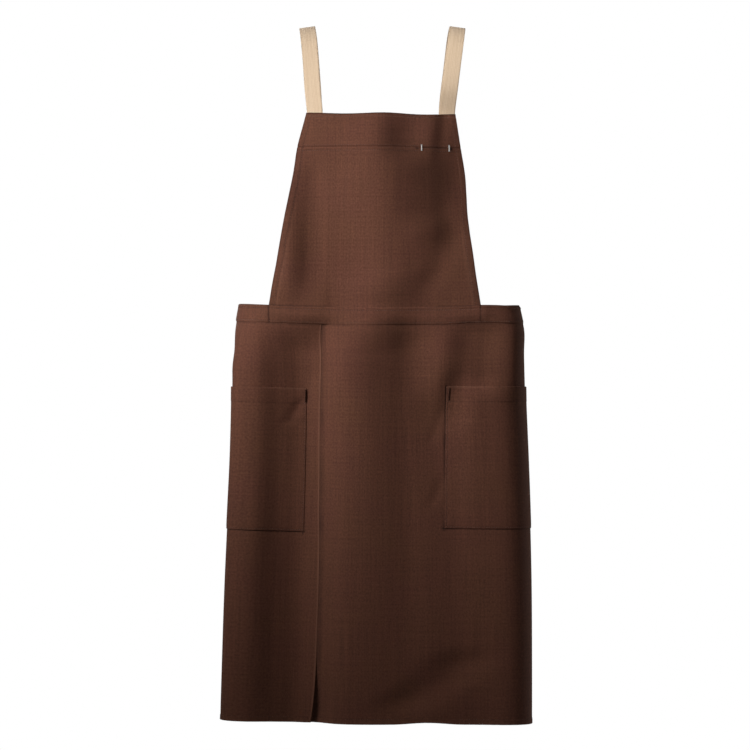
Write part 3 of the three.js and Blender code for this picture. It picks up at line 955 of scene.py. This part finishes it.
def pocket_lean(d, t, pocket):
    """How far a pocket's free side leans along the thread."""
    return pocket["lean"] * pocket_down(d, pocket) * (1 - outer_share(t, pocket))


def pocket_tilt(d, t, pocket):
    """How much lower a pocket hangs toward its outer side."""
    return mix(*pocket["tilt"], pocket_down(d, pocket)) * outer_share(t, pocket)


def pocket_slack(d, t, pocket):
    """How far a pocket's mouth stands off the panel."""
    share = outer_share(t, pocket)
    return pocket["slack"] * np.sin(math.pi * np.sqrt(share)) * (1 - pocket_down(d, pocket)) ** 2


def pocket_trace(d, t, pocket):
    """Distance from the seam that holds a pocket to the panel below."""
    lean = pocket["lean"] * pocket_down(d, pocket)
    start = pocket["from"] + (0 if pocket["to"] < 0 else lean)
    end = pocket["to"] + (lean if pocket["to"] < 0 else 0)
    foot = pocket["foot"] + pocket_tilt(d, t, pocket)
    rows = (d > pocket["top"] - 1) & (d < foot + 3)
    beside = np.where(rows, nearest(t, start, end), FAR)
    below = np.where((t > start - 3) & (t < end + 3), np.abs(d - foot), FAR)
    return np.minimum(beside, below)


def skirt_hem(d, t):
    """Height of the hem's turned edge, its stitch dent and its pucker."""
    to_hem = HEM - d
    pucker = ripple(t, 11) * mark(to_hem - HEM_STITCH, 0.35, 16.0)
    return hem_step(to_hem, HEM_STITCH, 0.5) + groove(to_hem - HEM_STITCH, 0.4) + pucker


def press_slit(free, inner, outer, wear_and_highlight):
    """Faces of the upper panel with its free edge pressed flat and a small roll along it, and its wear with
    a painted highlight along that edge.
    """
    pressed = 1 - smooth(free, 0.0, SLIT_PRESS)
    outer = outer - 1.1 * pressed + mark(free - 1.5, 0.3, 2.0) - mark(free, 0.25, 0.6)
    # Painted highlight: a light line along the free edge, where it catches the light
    return inner - 0.33 * pressed, outer, wear_and_highlight + mark(free - 1.2, 1.0, 1.7)


def skirt_panel(name, low, high, inner_of, pocket):
    """One panel of the skirt, with the trace of its pocket's seam. The upper panel ends at the slit."""
    ends_at_slit = high == SLIT_EDGE
    last_hem = 1.5 if ends_at_slit else BACK_HEM
    near_cols = [pocket["from"], pocket["to"], low + BACK_HEM, high - last_hem, SLIT_EDGE, SLIT_EDGE + 6]
    drops = stations(WAIST_TOP, HEM, 4.0, [pocket["top"], pocket["foot"], HEM - HEM_STITCH, WAIST_SEAM])
    d, t = grids(drops, stations(low, high, 3.6, near_cols))
    inner = inner_of(d, t)
    trace = pocket_trace(d, t, pocket)
    outer = inner + CLOTH + skirt_hem(d, t) + groove(trace, 0.4, 1.8)
    # Painted shade along the pocket's seam, along the hem's stitch row and under the waistband's lower edge
    seam_shade_and_soil = mark(trace, 0.85, 2.4) + mark(HEM - d - HEM_STITCH, 0.3, 1.0) + mark(d - WAIST_SEAM, 0.3, 4.0)
    wear_and_highlight = mark(HEM - d, 0.5, 2.5)
    back = t - low if ends_at_slit else high - t
    if ends_at_slit:
        inner, outer, wear_and_highlight = press_slit(high - t, inner, outer, wear_and_highlight)
        t = t - slit_sway(d) * smooth(t, SLIT_EDGE - SLIT_REACH, SLIT_EDGE)
    else:
        # Painted shadow cast by the upper panel's free edge onto the panel below, beside the slit
        beside = t - SLIT_EDGE + slit_sway(d)
        seam_shade_and_soil = seam_shade_and_soil + 0.35 * smooth(beside, -6.0, 0.0) * (1 - smooth(beside, 2.0, 9.0))
    outer = outer + hem_step(back, BACK_HEM, 0.6) + groove(back - BACK_HEM)
    hem_rise = mark(t - 62.0, HEM_LIFT, 52.0) * smooth(d, HEM - 90, HEM)
    return twill_piece(name, drops, t, inner, outer, seam_shade_and_soil, wear_and_highlight, -hem_rise)


def pocket_piece(name, pocket, inner_of):
    """A patch pocket, sewn down along its sides and foot, with a deep hem at its mouth."""
    near_cols = [pocket["from"] + EDGE_STITCH, pocket["to"] - EDGE_STITCH]
    near_rows = [pocket["top"] + POCKET_HEM, pocket["foot"] - EDGE_STITCH]
    drops = stations(pocket["top"], pocket["foot"], 3.2, near_rows)
    d, t = grids(drops, stations(pocket["from"], pocket["to"], 3.0, near_cols))
    edge = np.minimum(np.minimum(t - pocket["from"], pocket["to"] - t), pocket["foot"] - d)
    mouth = d - pocket["top"]
    inner = inner_of(t) + pocket_slack(d, t, pocket)
    outer = inner + POCKET_CLOTH + hem_step(mouth, POCKET_HEM, 0.3) + groove(mouth - POCKET_HEM)
    outer = outer + 0.2 * smooth(edge, EDGE_STITCH, 9.0) + groove(edge - EDGE_STITCH)
    outer = outer - mark(edge, 0.4, 1.2) + ripple(t + d, 37) * mark(edge - EDGE_STITCH, 0.2, 12.0)
    # Painted shade under the mouth hem, along the stitch rows and in the gap at the pocket's edges
    seam_shade_and_soil = mark(mouth - POCKET_HEM, 0.25, 1.0) + thread_shade(edge - EDGE_STITCH, 0.2)
    seam_shade_and_soil = (seam_shade_and_soil + mark(edge, 0.55, 1.1)) * smooth(mouth, 0.0, 3.0)
    # Wear together with a painted highlight along the mouth's edge, where it catches the light
    wear_and_highlight = mark(mouth - 0.5, 0.9, 2.2) * (1 - smooth(outer_share(t, pocket), 0.12, 0.5))
    leaning = t + pocket_lean(d, t, pocket)
    return twill_piece(name, drops, leaning, inner, outer, seam_shade_and_soil, wear_and_highlight, pocket_tilt(d, t, pocket))


def waistband_piece():
    """Band round the waist, with a row of stitches along each edge and a joint at each side of the bib."""
    drops = stations(WAIST_TOP, WAIST_SEAM, 2.0, [WAIST_TOP + TOP_STITCH, WAIST_SEAM - EDGE_STITCH])
    d, t = grids(drops, stations(-BACK_EDGE, BACK_EDGE, 3.4, BIB_FOOT))
    lower = smooth(d, WAIST_SEAM - 13.0, WAIST_SEAM + 1.0)
    inner = mix(waistband_inner(t), skirt_outer(t) + ON_CLOTH, lower)
    joint = nearest(t, *BIB_FOOT)
    rows = nearest(d, WAIST_TOP + TOP_STITCH, WAIST_SEAM - EDGE_STITCH)
    belly = mark(d - (WAIST_TOP + WAIST_SEAM) / 2, 0.15, 12.0)
    pucker = ripple(t, 41, 9.0) * mark(d - WAIST_SEAM, 0.3, 12.0)
    pressed = mark(d - WAIST_TOP, 0.6, 2.0) + mark(d - WAIST_SEAM, 0.8, 2.6)
    outer = inner + CLOTH + belly + groove(rows) + groove(joint, 0.5, 1.6) + pucker - pressed
    # Painted shade along the stitch rows, in the joints and in the gap at the band's top edge beside the bib
    seam_shade_and_soil = thread_shade(rows, 0.2) + mark(joint, 0.8, 2.2) + mark(d - WAIST_TOP, 0.5, 1.2) * off_middle(t)
    # Lighter line above the lower seam, and a painted highlight beside each joint
    wear_and_highlight = mark(d - WAIST_SEAM + 2.0, 0.3, 1.5) + mark(nearest(t - 4.0, *BIB_FOOT), 0.4, 2.0)
    sag = 1.5 * smooth(t, 160.0, 210.0) - mark(t - BIB_FOOT[1], 1.6, 55.0)
    return twill_piece("waistband_cloth", drops, t, inner, outer, seam_shade_and_soil, wear_and_highlight, sag)


def bib_threads(drops, shares):
    """Threads at shares of the bib's width, for each drop."""
    edges = np.array([bib_edges(d) for d in drops])
    return edges[:, :1] + (edges[:, 1:] - edges[:, :1]) * np.asarray(shares)[None, :]


def slot_shares():
    """Shares of the bib's width where the pen slot begins and ends."""
    left, right = bib_edges(BAND_SEAM)
    return [(thread_at_across(BAND_SEAM, PEN_SLOT[end]) - left) / (right - left) for end in ("from", "to")]


SLOT_SHARES = slot_shares()


def bib_shares():
    """Columns of the bib as shares of its width, finer at the side hems and the slot's ends."""
    start, end = (share * BIB_WIDTH for share in SLOT_SHARES)
    near = [SIDE_HEM, BIB_WIDTH - SIDE_HEM, start - 7.0, start, end]
    return stations(0.0, BIB_WIDTH, 2.9, near) / BIB_WIDTH


def bib_sides(t):
    """Distance from the nearer side edge."""
    return np.minimum(t - t[:, :1], t[:, -1:] - t)


def bib_shade(d, side, shares):
    """Painted shade along the turned side hems, clearest low on the bib, and painted shadow in the holes
    where the pen slot ends.
    """
    hem = 0.16 * (1 - smooth(side, SIDE_HEM - 1.5, SIDE_HEM)) + mark(side - SIDE_HEM, 0.2, 1.3)
    hem = hem * (0.4 + 0.6 * smooth(d, *SIDE_HEM_SHOWS)) + mark(side, 0.3, 1.6)
    hem = hem + thread_shade(side - SIDE_HEM, 0.2)
    beside_slot = nearest(shares, SLOT_SHARES[0] - 0.027, SLOT_SHARES[1] + 0.013)
    return hem + mark(beside_slot, 2.0, 0.017)[None, :] * bump(d, BAND_SEAM + 1.0, 3.2)


def bib_band_piece():
    """Wide band along the top of the bib, with a row of stitches under its edge."""
    drops = stations(BIB_TOP, BAND_SEAM, 2.6, [BIB_TOP + TOP_STITCH, BAND_SEAM - EDGE_STITCH])
    shares = bib_shares()
    d, t = grids(drops, bib_threads(drops, shares))
    side, top = bib_sides(t), d - BIB_TOP
    outer = CLOTH + hem_step(side, SIDE_HEM, 0.4) + groove(side - SIDE_HEM)
    outer = outer + groove(top - TOP_STITCH, 0.4) - mark(d - BAND_SEAM, 0.75, 2.4)
    outer = outer + ripple(t, 53) * mark(top - TOP_STITCH, 0.25, 10.0)
    # Painted shade along the top stitch row, the band's top and lower edges, and the side hems
    seam_shade_and_soil = thread_shade(top - TOP_STITCH, 0.25) + mark(d - BAND_SEAM, 0.15, 1.3) + mark(top, 0.8, 1.6)
    seam_shade_and_soil = seam_shade_and_soil + bib_shade(d, side, shares)
    # Lighter line along the top stitch row
    wear_and_highlight = mark(top - TOP_STITCH, 0.8, 1.3)
    sag = -0.8 * np.cos(4 * math.pi * shares)[None, :] * (1 - smooth(top, 0.0, 30.0))
    return twill_piece("bib_band_cloth", drops, t, np.zeros_like(t), outer, seam_shade_and_soil, wear_and_highlight, sag)


def in_slot(shares):
    """1 across the pen slot, 0 beside it."""
    start, end = SLOT_SHARES
    return smooth(shares, start, start + SLOT_EASE) * (1 - smooth(shares, end - SLOT_EASE, end))


def bib_panel_piece():
    """Tapered panel of the bib: tucked behind the band, except at the slot, where it gapes a little."""
    near = [BAND_SEAM + 1.0, BAND_SEAM + SEAM_ROW, WAIST_TOP]
    drops = stations(BAND_SEAM - 5.0, WAIST_SEAM - 9.0, 2.9, near)
    shares = bib_shares()
    d, t = grids(drops, bib_threads(drops, shares))
    side, slot = bib_sides(t), in_slot(shares)[None, :]
    tucked = (1 - smooth(d, BAND_SEAM - 2.0, BAND_SEAM + 2.0)) * (1 - slot)
    gape = 0.5 * slot * (1 - smooth(d, BAND_SEAM, BAND_SEAM + 14.0))
    inner = bib_inner(d, t) - (CLOTH + 0.15) * tucked + gape
    outer = inner + CLOTH + hem_step(side, SIDE_HEM, 0.4) * (1 - tucked) + groove(side - SIDE_HEM)
    outer = outer + groove(d - BAND_SEAM - SEAM_ROW)
    # Painted shade in the pen slot, along the stitch row under the band, just above the waistband toward the
    # sides, and along the side hems
    seam_shade_and_soil = (0.15 + 0.3 * slot) * bump(d, BAND_SEAM, 1.5) + thread_shade(d - BAND_SEAM - SEAM_ROW, 0.12)
    seam_shade_and_soil = seam_shade_and_soil + 0.5 * smooth(d, WAIST_TOP - 2.5, WAIST_TOP) * off_middle(t) + bib_shade(d, side, shares)
    # Lighter line just inside each side hem, low on the bib
    wear_and_highlight = mark(side - SIDE_HEM - 3.0, 0.35, 2.0) * smooth(d, *SIDE_HEM_SHOWS)
    lowered = 0.92 * slot * np.maximum(BAND_SEAM + PEN_SLOT["open"] - d, 0.0)
    return twill_piece("bib_panel_cloth", drops, t, inner, outer, seam_shade_and_soil, wear_and_highlight, lowered)


def pen_bag_piece():
    """Plain patch behind the pen slot, thicker inside its seam."""
    drops = stations(PEN_BAG["top"], PEN_BAG["foot"], 4.0, [PEN_BAG["top"] + 4, PEN_BAG["foot"] - 4])
    d, t = grids(drops, bib_threads(drops, np.linspace(SLOT_SHARES[0] - 0.04, SLOT_SHARES[1] + 0.04, 18)))
    edge = np.minimum(bib_sides(t), np.minimum(d - PEN_BAG["top"], PEN_BAG["foot"] - d))
    outer = np.full_like(t, -GAP)
    inner = outer - CLOTH - 0.5 * smooth(edge, 3.0, 10.0) - groove(edge - BAG_STITCH, 0.4)
    # Painted shade along its stitch row
    return twill_piece("pen_bag_cloth", drops, t, inner, outer, mark(edge - BAG_STITCH, 0.3, 1.0))


# Straps

def spline_route(points, count):
    """Evenly spaced points on a centripetal curve through the given ones."""
    points = np.asarray(points, float)
    padded = np.concatenate([[2 * points[0] - points[1]], points, [2 * points[-1] - points[-2]]])
    fine = []
    for p0, p1, p2, p3 in zip(padded, padded[1:], padded[2:], padded[3:]):
        k = [0.0]
        for a, b in ((p0, p1), (p1, p2), (p2, p3)):
            k.append(k[-1] + np.linalg.norm(b - a) ** 0.5)
        for t in np.linspace(k[1], k[2], 60, endpoint=False):
            a1 = (k[1] - t) / (k[1] - k[0]) * p0 + (t - k[0]) / (k[1] - k[0]) * p1
            a2 = (k[2] - t) / (k[2] - k[1]) * p1 + (t - k[1]) / (k[2] - k[1]) * p2
            a3 = (k[3] - t) / (k[3] - k[2]) * p2 + (t - k[2]) / (k[3] - k[2]) * p3
            b1 = (k[2] - t) / (k[2] - k[0]) * a1 + (t - k[0]) / (k[2] - k[0]) * a2
            b2 = (k[3] - t) / (k[3] - k[1]) * a2 + (t - k[1]) / (k[3] - k[1]) * a3
            fine.append((k[2] - t) / (k[2] - k[1]) * b1 + (t - k[1]) / (k[2] - k[1]) * b2)
    fine = np.array(fine + [points[-1]])
    length = np.concatenate([[0.0], np.cumsum(np.linalg.norm(np.diff(fine, axis=0), axis=1))])
    even = np.linspace(0.0, length[-1], count)
    return np.stack([np.interp(even, length, fine[:, i]) for i in range(3)], axis=-1), length[-1]


def plan_tangent(drop, thread):
    """Direction along the folded cloth in plan, over the width of a strap."""
    x, y, _ = folded_plan(drop, thread + np.array([-0.5, 0.5]) * STRAP_WIDTH, creased=False)
    along = np.array([x[1] - x[0], y[1] - y[0], 0.0])
    return along / np.linalg.norm(along)


def plan_out(drop, thread):
    """Direction out of the folded cloth in plan."""
    along = plan_tangent(drop, thread)
    return np.array([along[1], -along[0], 0.0])


def strap_ends(side):
    """Threads of a strap's middle line behind the bib and inside the waistband."""
    return thread_at_across(BIB_TOP, STRAP_AT_BIB[side]), HAND[side] * (BACK_EDGE - STRAP_FROM_BACK_EDGE)


def strap_line(side):
    """Even points along a strap's middle line, and its length."""
    bib_end, back_end = strap_ends(side)
    inside = -(STRAP_GAP + 1.0 + STRAP_THICK / 2)
    room = STRAP_TWIST_ROOM * STRAP_LEVEL[side]
    behind_bib = ((STRAP_TUCK, 0.0), (STRAP_TUCK / 2, room / 3), (0.0, room))
    route = [cloth_point(BIB_TOP + down, bib_end, inside - back) for down, back in behind_bib]
    route += [np.array([HAND[side] * r[side], r[side + "_depth"], -r["drop"]], float) for r in STRAP_ROUTE]
    route += [cloth_point(drop, back_end, inside) for drop in (WAIST_TOP, WAIST_SEAM)]
    return spline_route(route, STRAP_POINTS)


def strap_widths(side, points, ahead):
    """Direction across a strap at each point: level over the shoulder, along the cloth toward its ends."""
    bib_end, back_end = strap_ends(side)
    bib_width, back_width = plan_tangent(BIB_TOP, bib_end), -plan_tangent(WAIST_TOP, back_end)
    top = int(np.argmax(points[:, 2]))
    widths = []
    for i, (point, along) in enumerate(zip(points, ahead)):
        away = float(smooth(abs(point[1]), 0.0, SHOULDER_REACH))
        slope = -HAND[side] * SHOULDER_SLOPE * (1 - away)
        level = np.array([math.cos(slope), 0.0, math.sin(slope)])
        width = mix(level, back_width, away)
        if i < top:
            free = 1 - float(smooth(-point[2], BIB_TOP - 9.0, BIB_TOP + STRAP_TUCK))
            width = mix(level, bib_width, away * (1 - STRAP_LEVEL[side] * free))
        width = width - along * float(width @ along)
        widths.append(width / np.linalg.norm(width))
    return np.array(widths)


def strap_piece(side):
    """One webbing strap with thinner edges, and its length."""
    points, length = strap_line(side)
    ahead = np.gradient(points, axis=0)
    ahead /= np.linalg.norm(ahead, axis=1, keepdims=True)
    width = strap_widths(side, points, ahead)
    across = np.array(STRAP_COLUMNS)
    thick = STRAP_THICK * (1 - 0.25 * (np.abs(across) > 0.97))
    middle = points[:, None] + across[None, :, None] * width[:, None] * STRAP_WIDTH / 2
    half = np.cross(ahead, width)[:, None] * (thick / 2)[None, :, None]
    along = np.linspace(0.0, length, len(points))
    uv = np.stack(np.broadcast_arrays(across[None, :] * STRAP_WIDTH / 2, along[:, None]), axis=-1)
    soiled = mark((1 - np.abs(across)) * STRAP_WIDTH / 2, 0.35, 1.2)
    piece = cloth_wall(f"strap_{side}_webbing", middle - half, middle + half, uv, WEBBING, soiled)
    return piece, length


# Stitch rows and bar tacks

def seam_line(drops, threads, outside):
    """Line of points on the cloth, from single values or one for each point."""
    return np.array([cloth_point(*place) for place in zip(*np.broadcast_arrays(drops, threads, outside))])


def line_between(start, end, step=6.0):
    """Places from start to end, about a step apart."""
    count = max(2, int(abs(end - start) / step))
    return np.linspace(start, end, count)


def bib_row(drop, outside):
    """Line across the bib from side to side."""
    return seam_line(drop, bib_threads([drop], np.linspace(0.01, 0.99, 46))[0], outside)


def bib_side_row(share, inward):
    """Line down a side hem of the bib."""
    d = line_between(BIB_TOP + 2, WAIST_TOP - 2)
    t = bib_threads(d, [share])[:, 0] + inward
    return seam_line(d, t, bib_inner(d, t) + CLOTH + ON_CLOTH)


def bib_rows():
    return [
        bib_row(BIB_TOP + TOP_STITCH, CLOTH - 0.05),
        bib_row(BAND_SEAM - EDGE_STITCH, CLOTH - 0.05),
        bib_row(BAND_SEAM + SEAM_ROW, CLOTH + 0.05),
        bib_side_row(0.0, SIDE_HEM),
        bib_side_row(1.0, -SIDE_HEM),
    ]


def waist_rows():
    t = line_between(-BACK_EDGE + 3, BACK_EDGE - 3)
    return [
        seam_line(WAIST_TOP + TOP_STITCH, t, waistband_inner(t) + CLOTH + ON_CLOTH),
        seam_line(WAIST_SEAM - EDGE_STITCH, t, skirt_outer(t) + CLOTH),
    ]


def skirt_rows():
    """Lines along the hem of both panels and down both back edges."""
    hem = HEM - HEM_STITCH
    under = line_between(SLIT_EDGE + 36, BACK_EDGE - 3)
    over = line_between(-BACK_EDGE + 3, SLIT_PATH[-1]["thread"] - 4)
    down = line_between(WAIST_SEAM + 3, HEM - 3)
    return [
        seam_line(hem, under, CLOTH + ON_CLOTH),
        seam_line(hem, over, lifted_inner(hem, over) + CLOTH + ON_CLOTH),
        seam_line(down, BACK_EDGE - BACK_HEM, CLOTH + ON_CLOTH),
        seam_line(down, -BACK_EDGE + BACK_HEM, CLOTH + ON_CLOTH),
    ]


def on_pocket(pocket, inner_of, d, t, outside):
    """Line of points at a distance from a pocket's outer face."""
    d, t = np.broadcast_arrays(d, t)
    face = inner_of(t) + pocket_slack(d, t, pocket) + POCKET_CLOTH
    return seam_line(d + pocket_tilt(d, t, pocket), t + pocket_lean(d, t, pocket), face + outside)


def pocket_rows(pocket, inner_of):
    """Lines down both sides, along the foot and under the mouth hem of a pocket."""
    sides = (pocket["from"] + EDGE_STITCH, pocket["to"] - EDGE_STITCH)
    foot, mouth = pocket["foot"] - EDGE_STITCH, pocket["top"] + POCKET_HEM
    down, across = line_between(pocket["top"] + 1.5, foot), line_between(*sides)
    on_hem = np.where(down < mouth, 0.2, -0.05)
    rows = [on_pocket(pocket, inner_of, down, side, on_hem) for side in sides]
    return rows + [on_pocket(pocket, inner_of, drop, across, -0.05) for drop in (foot, mouth)]


def slot_tack(share):
    """Upright bar tack at one end of the pen slot."""
    t = bib_threads([BAND_SEAM], [share])[0, 0]
    foot, head = (cloth_point(drop, t, CLOTH + 0.9) for drop in (BAND_SEAM + 4.8, BAND_SEAM - 3.8))
    middle = (foot[0] + head[0]) / 2
    foot[0] = middle
    head[0] = middle
    return bar_tack(foot, head, 2.1, plan_out(BAND_SEAM, t))


def pocket_tack(pocket, thread, inner_of):
    """Bar tack at the front corner of a pocket's mouth."""
    foot, head = on_pocket(pocket, inner_of, pocket["top"] + np.array([19.5, 2.5]), thread, 0.4)
    return bar_tack(foot, head, 1.7, plan_out(pocket["top"], thread))


# Build the apron

under_panel = skirt_panel("skirt_under_cloth", UNDER_EDGE, BACK_EDGE, recessed_inner, RIGHT_POCKET)
over_panel = skirt_panel("skirt_over_cloth", -BACK_EDGE, SLIT_EDGE, lifted_inner, LEFT_POCKET)
pocket_left = pocket_piece("pocket_left_cloth", LEFT_POCKET, left_pocket_inner)
pocket_right = pocket_piece("pocket_right_cloth", RIGHT_POCKET, right_pocket_inner)
waistband = waistband_piece()
bib_band = bib_band_piece()
bib_panel = bib_panel_piece()
pen_bag = pen_bag_piece()
strap_left, left_length = strap_piece("left")
strap_right, right_length = strap_piece("right")

bib_stitches = sew("bib_stitches", bib_rows(), BROWN_THREAD, 3)
waist_stitches = sew("waist_stitches", waist_rows(), BROWN_THREAD, 5)
skirt_stitches = sew("skirt_stitches", skirt_rows(), BROWN_THREAD, 7)
both_pockets = pocket_rows(LEFT_POCKET, left_pocket_inner) + pocket_rows(RIGHT_POCKET, right_pocket_inner)
pocket_stitches = sew("pocket_stitches", both_pockets, BROWN_THREAD, 9)
slot_tacks = thread_tube("slot_bar_tacks", [slot_tack(s) for s in SLOT_SHARES], 0.3, WHITE_THREAD)
pocket_tacks = thread_tube("pocket_bar_tacks", [
    pocket_tack(LEFT_POCKET, LEFT_POCKET["to"] - 0.6, left_pocket_inner),
    pocket_tack(RIGHT_POCKET, RIGHT_POCKET["from"] + 4.3, right_pocket_inner),
], 0.28, DARK_THREAD)


# Camera, light and floor

PHOTO_SIDE = 750.0
SENSOR = 36.0
SCALE = 1.4  # millimetres to a photo pixel at the front of the apron
DISTANCE = 6000.0
FRONT_PLANE = -60.0
VIEW_MIDDLE = (-7.0, -491.0)  # across and height of the picture's middle
FLOOR_RADIUS = 2.6  # metres, as the places of the lights
FLOOR_HEIGHT = -1.5
SOFT_LIGHT = 0.074  # strength of the even light from all round


def add_camera():
    """Camera straight in front, with the photo's frame."""
    camera = bpy.data.cameras.new("camera")
    camera.sensor_width = SENSOR
    camera.lens = SENSOR * DISTANCE / (PHOTO_SIDE * SCALE)
    camera.clip_end = 100.0
    obj = bpy.data.objects.new("camera", camera)
    obj.location = (VIEW_MIDDLE[0] * MM, (FRONT_PLANE - DISTANCE) * MM, VIEW_MIDDLE[1] * MM)
    obj.rotation_euler = (math.radians(90), 0.0, 0.0)
    bpy.context.scene.collection.objects.link(obj)
    bpy.context.scene.camera = obj


def add_light(name, place, aim, size, power, spread=180.0):
    """Soft rectangular light, aimed at a point."""
    light = bpy.data.lights.new(name, "AREA")
    light.shape = "RECTANGLE"
    light.size, light.size_y = size
    light.energy = power
    light.spread = math.radians(spread)
    obj = bpy.data.objects.new(name, light)
    direction = np.array(aim, float) - np.array(place, float)
    obj.location = place
    obj.rotation_euler = Vector(direction.tolist()).to_track_quat("-Z", "Y").to_euler()
    bpy.context.scene.collection.objects.link(obj)
    return obj


def add_floor():
    """Round pale floor, well below the hem."""
    count = 96
    angle = np.linspace(0, 2 * math.pi, count, endpoint=False)
    points = [(0.0, 0.0, FLOOR_HEIGHT)]
    points += [(FLOOR_RADIUS * math.cos(a), FLOOR_RADIUS * math.sin(a), FLOOR_HEIGHT) for a in angle]
    mesh = bpy.data.meshes.new("floor")
    mesh.from_pydata(points, [], [(0, k + 1, (k + 1) % count + 1) for k in range(count)])
    mesh.materials.append(floor_material())
    obj = bpy.data.objects.new("floor", mesh)
    obj.visible_diffuse = False  # its bounce would wash out the folds low on the skirt
    bpy.context.scene.collection.objects.link(obj)
    return obj


def add_floor_light(floor):
    """Wide soft light that falls on the floor alone, so that it reads pale beside the dark cloth."""
    light = add_light("floor_light", (0.0, 0.0, 2.5), (0.0, 0.0, FLOOR_HEIGHT), (5.0, 5.0), 170.0)
    light.visible_camera = False
    floor_only = bpy.data.collections.new("floor_only")
    floor_only.objects.link(floor)
    light.light_linking.receiver_collection = floor_only


def add_world():
    """White behind the apron for the camera, and a soft even light from all round."""
    world = bpy.data.worlds.new("studio")
    world.use_nodes = True
    nodes, link = world.node_tree.nodes, world.node_tree.links.new
    nodes.clear()
    both = nodes.new("ShaderNodeMixShader")
    for socket, strength in ((1, SOFT_LIGHT), (2, 1.0)):
        white = nodes.new("ShaderNodeBackground")
        white.inputs["Color"].default_value = (1.0, 1.0, 1.0, 1.0)
        white.inputs["Strength"].default_value = strength
        link(white.outputs["Background"], both.inputs[socket])
    link(nodes.new("ShaderNodeLightPath").outputs["Is Camera Ray"], both.inputs["Fac"])
    link(both.outputs["Shader"], nodes.new("ShaderNodeOutputWorld").inputs["Surface"])
    bpy.context.scene.world = world


add_camera()
add_floor_light(add_floor())
add_world()
add_light("key", (-1.30, -1.15, 0.30), (-0.05, -0.1, -0.30), (0.7, 0.6), 2.8, spread=46.5)
add_light("bib_key", (-1.30, -1.15, 0.20), (0.0, -0.11, -0.35), (0.6, 0.5), 0.10, spread=14.0)
add_light("strap_fill", (0.7, -1.2, 0.5), (0.04, -0.05, 0.02), (0.2, 0.2), 0.155, spread=17.0)
add_light("front_fill", (0.4, -1.8, 0.7), (0.0, -0.1, -0.30), (1.0, 0.8), 0.14, spread=36.0)
add_light("side_fill", (1.9, 1.0, -0.4), (0.15, 0.0, -0.6), (0.6, 1.0), 0.9, spread=60.0)
add_light("back_fill", (-0.4, 2.3, 0.5), (0.0, 0.0, -0.4), (0.8, 0.8), 6.0, spread=60.0)
bpy.context.scene.view_settings.view_transform = "Standard"


# Hang the pieces and their stitches on the body, and hide the solids that the pieces stand for

PIECES = {
    "bib_panel": (bib_panel, "twill"),
    "bib_top_band": (bib_band, "twill"),
    "pen_pocket_bag": (pen_bag, "twill"),
    "waistband": (waistband, "twill"),
    "skirt_over_panel": (over_panel, "twill"),
    "skirt_under_panel": (under_panel, "twill"),
    "pocket_left": (pocket_left, "twill"),
    "pocket_right": (pocket_right, "twill"),
    "strap_left": (strap_left, "webbing"),
    "strap_right": (strap_right, "webbing"),
}
for node, (piece, slot) in PIECES.items():
    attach(piece, "root")
    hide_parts(node)
for piece in (bib_stitches, waist_stitches, skirt_stitches, pocket_stitches, slot_tacks, pocket_tacks):
    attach(piece, "root")
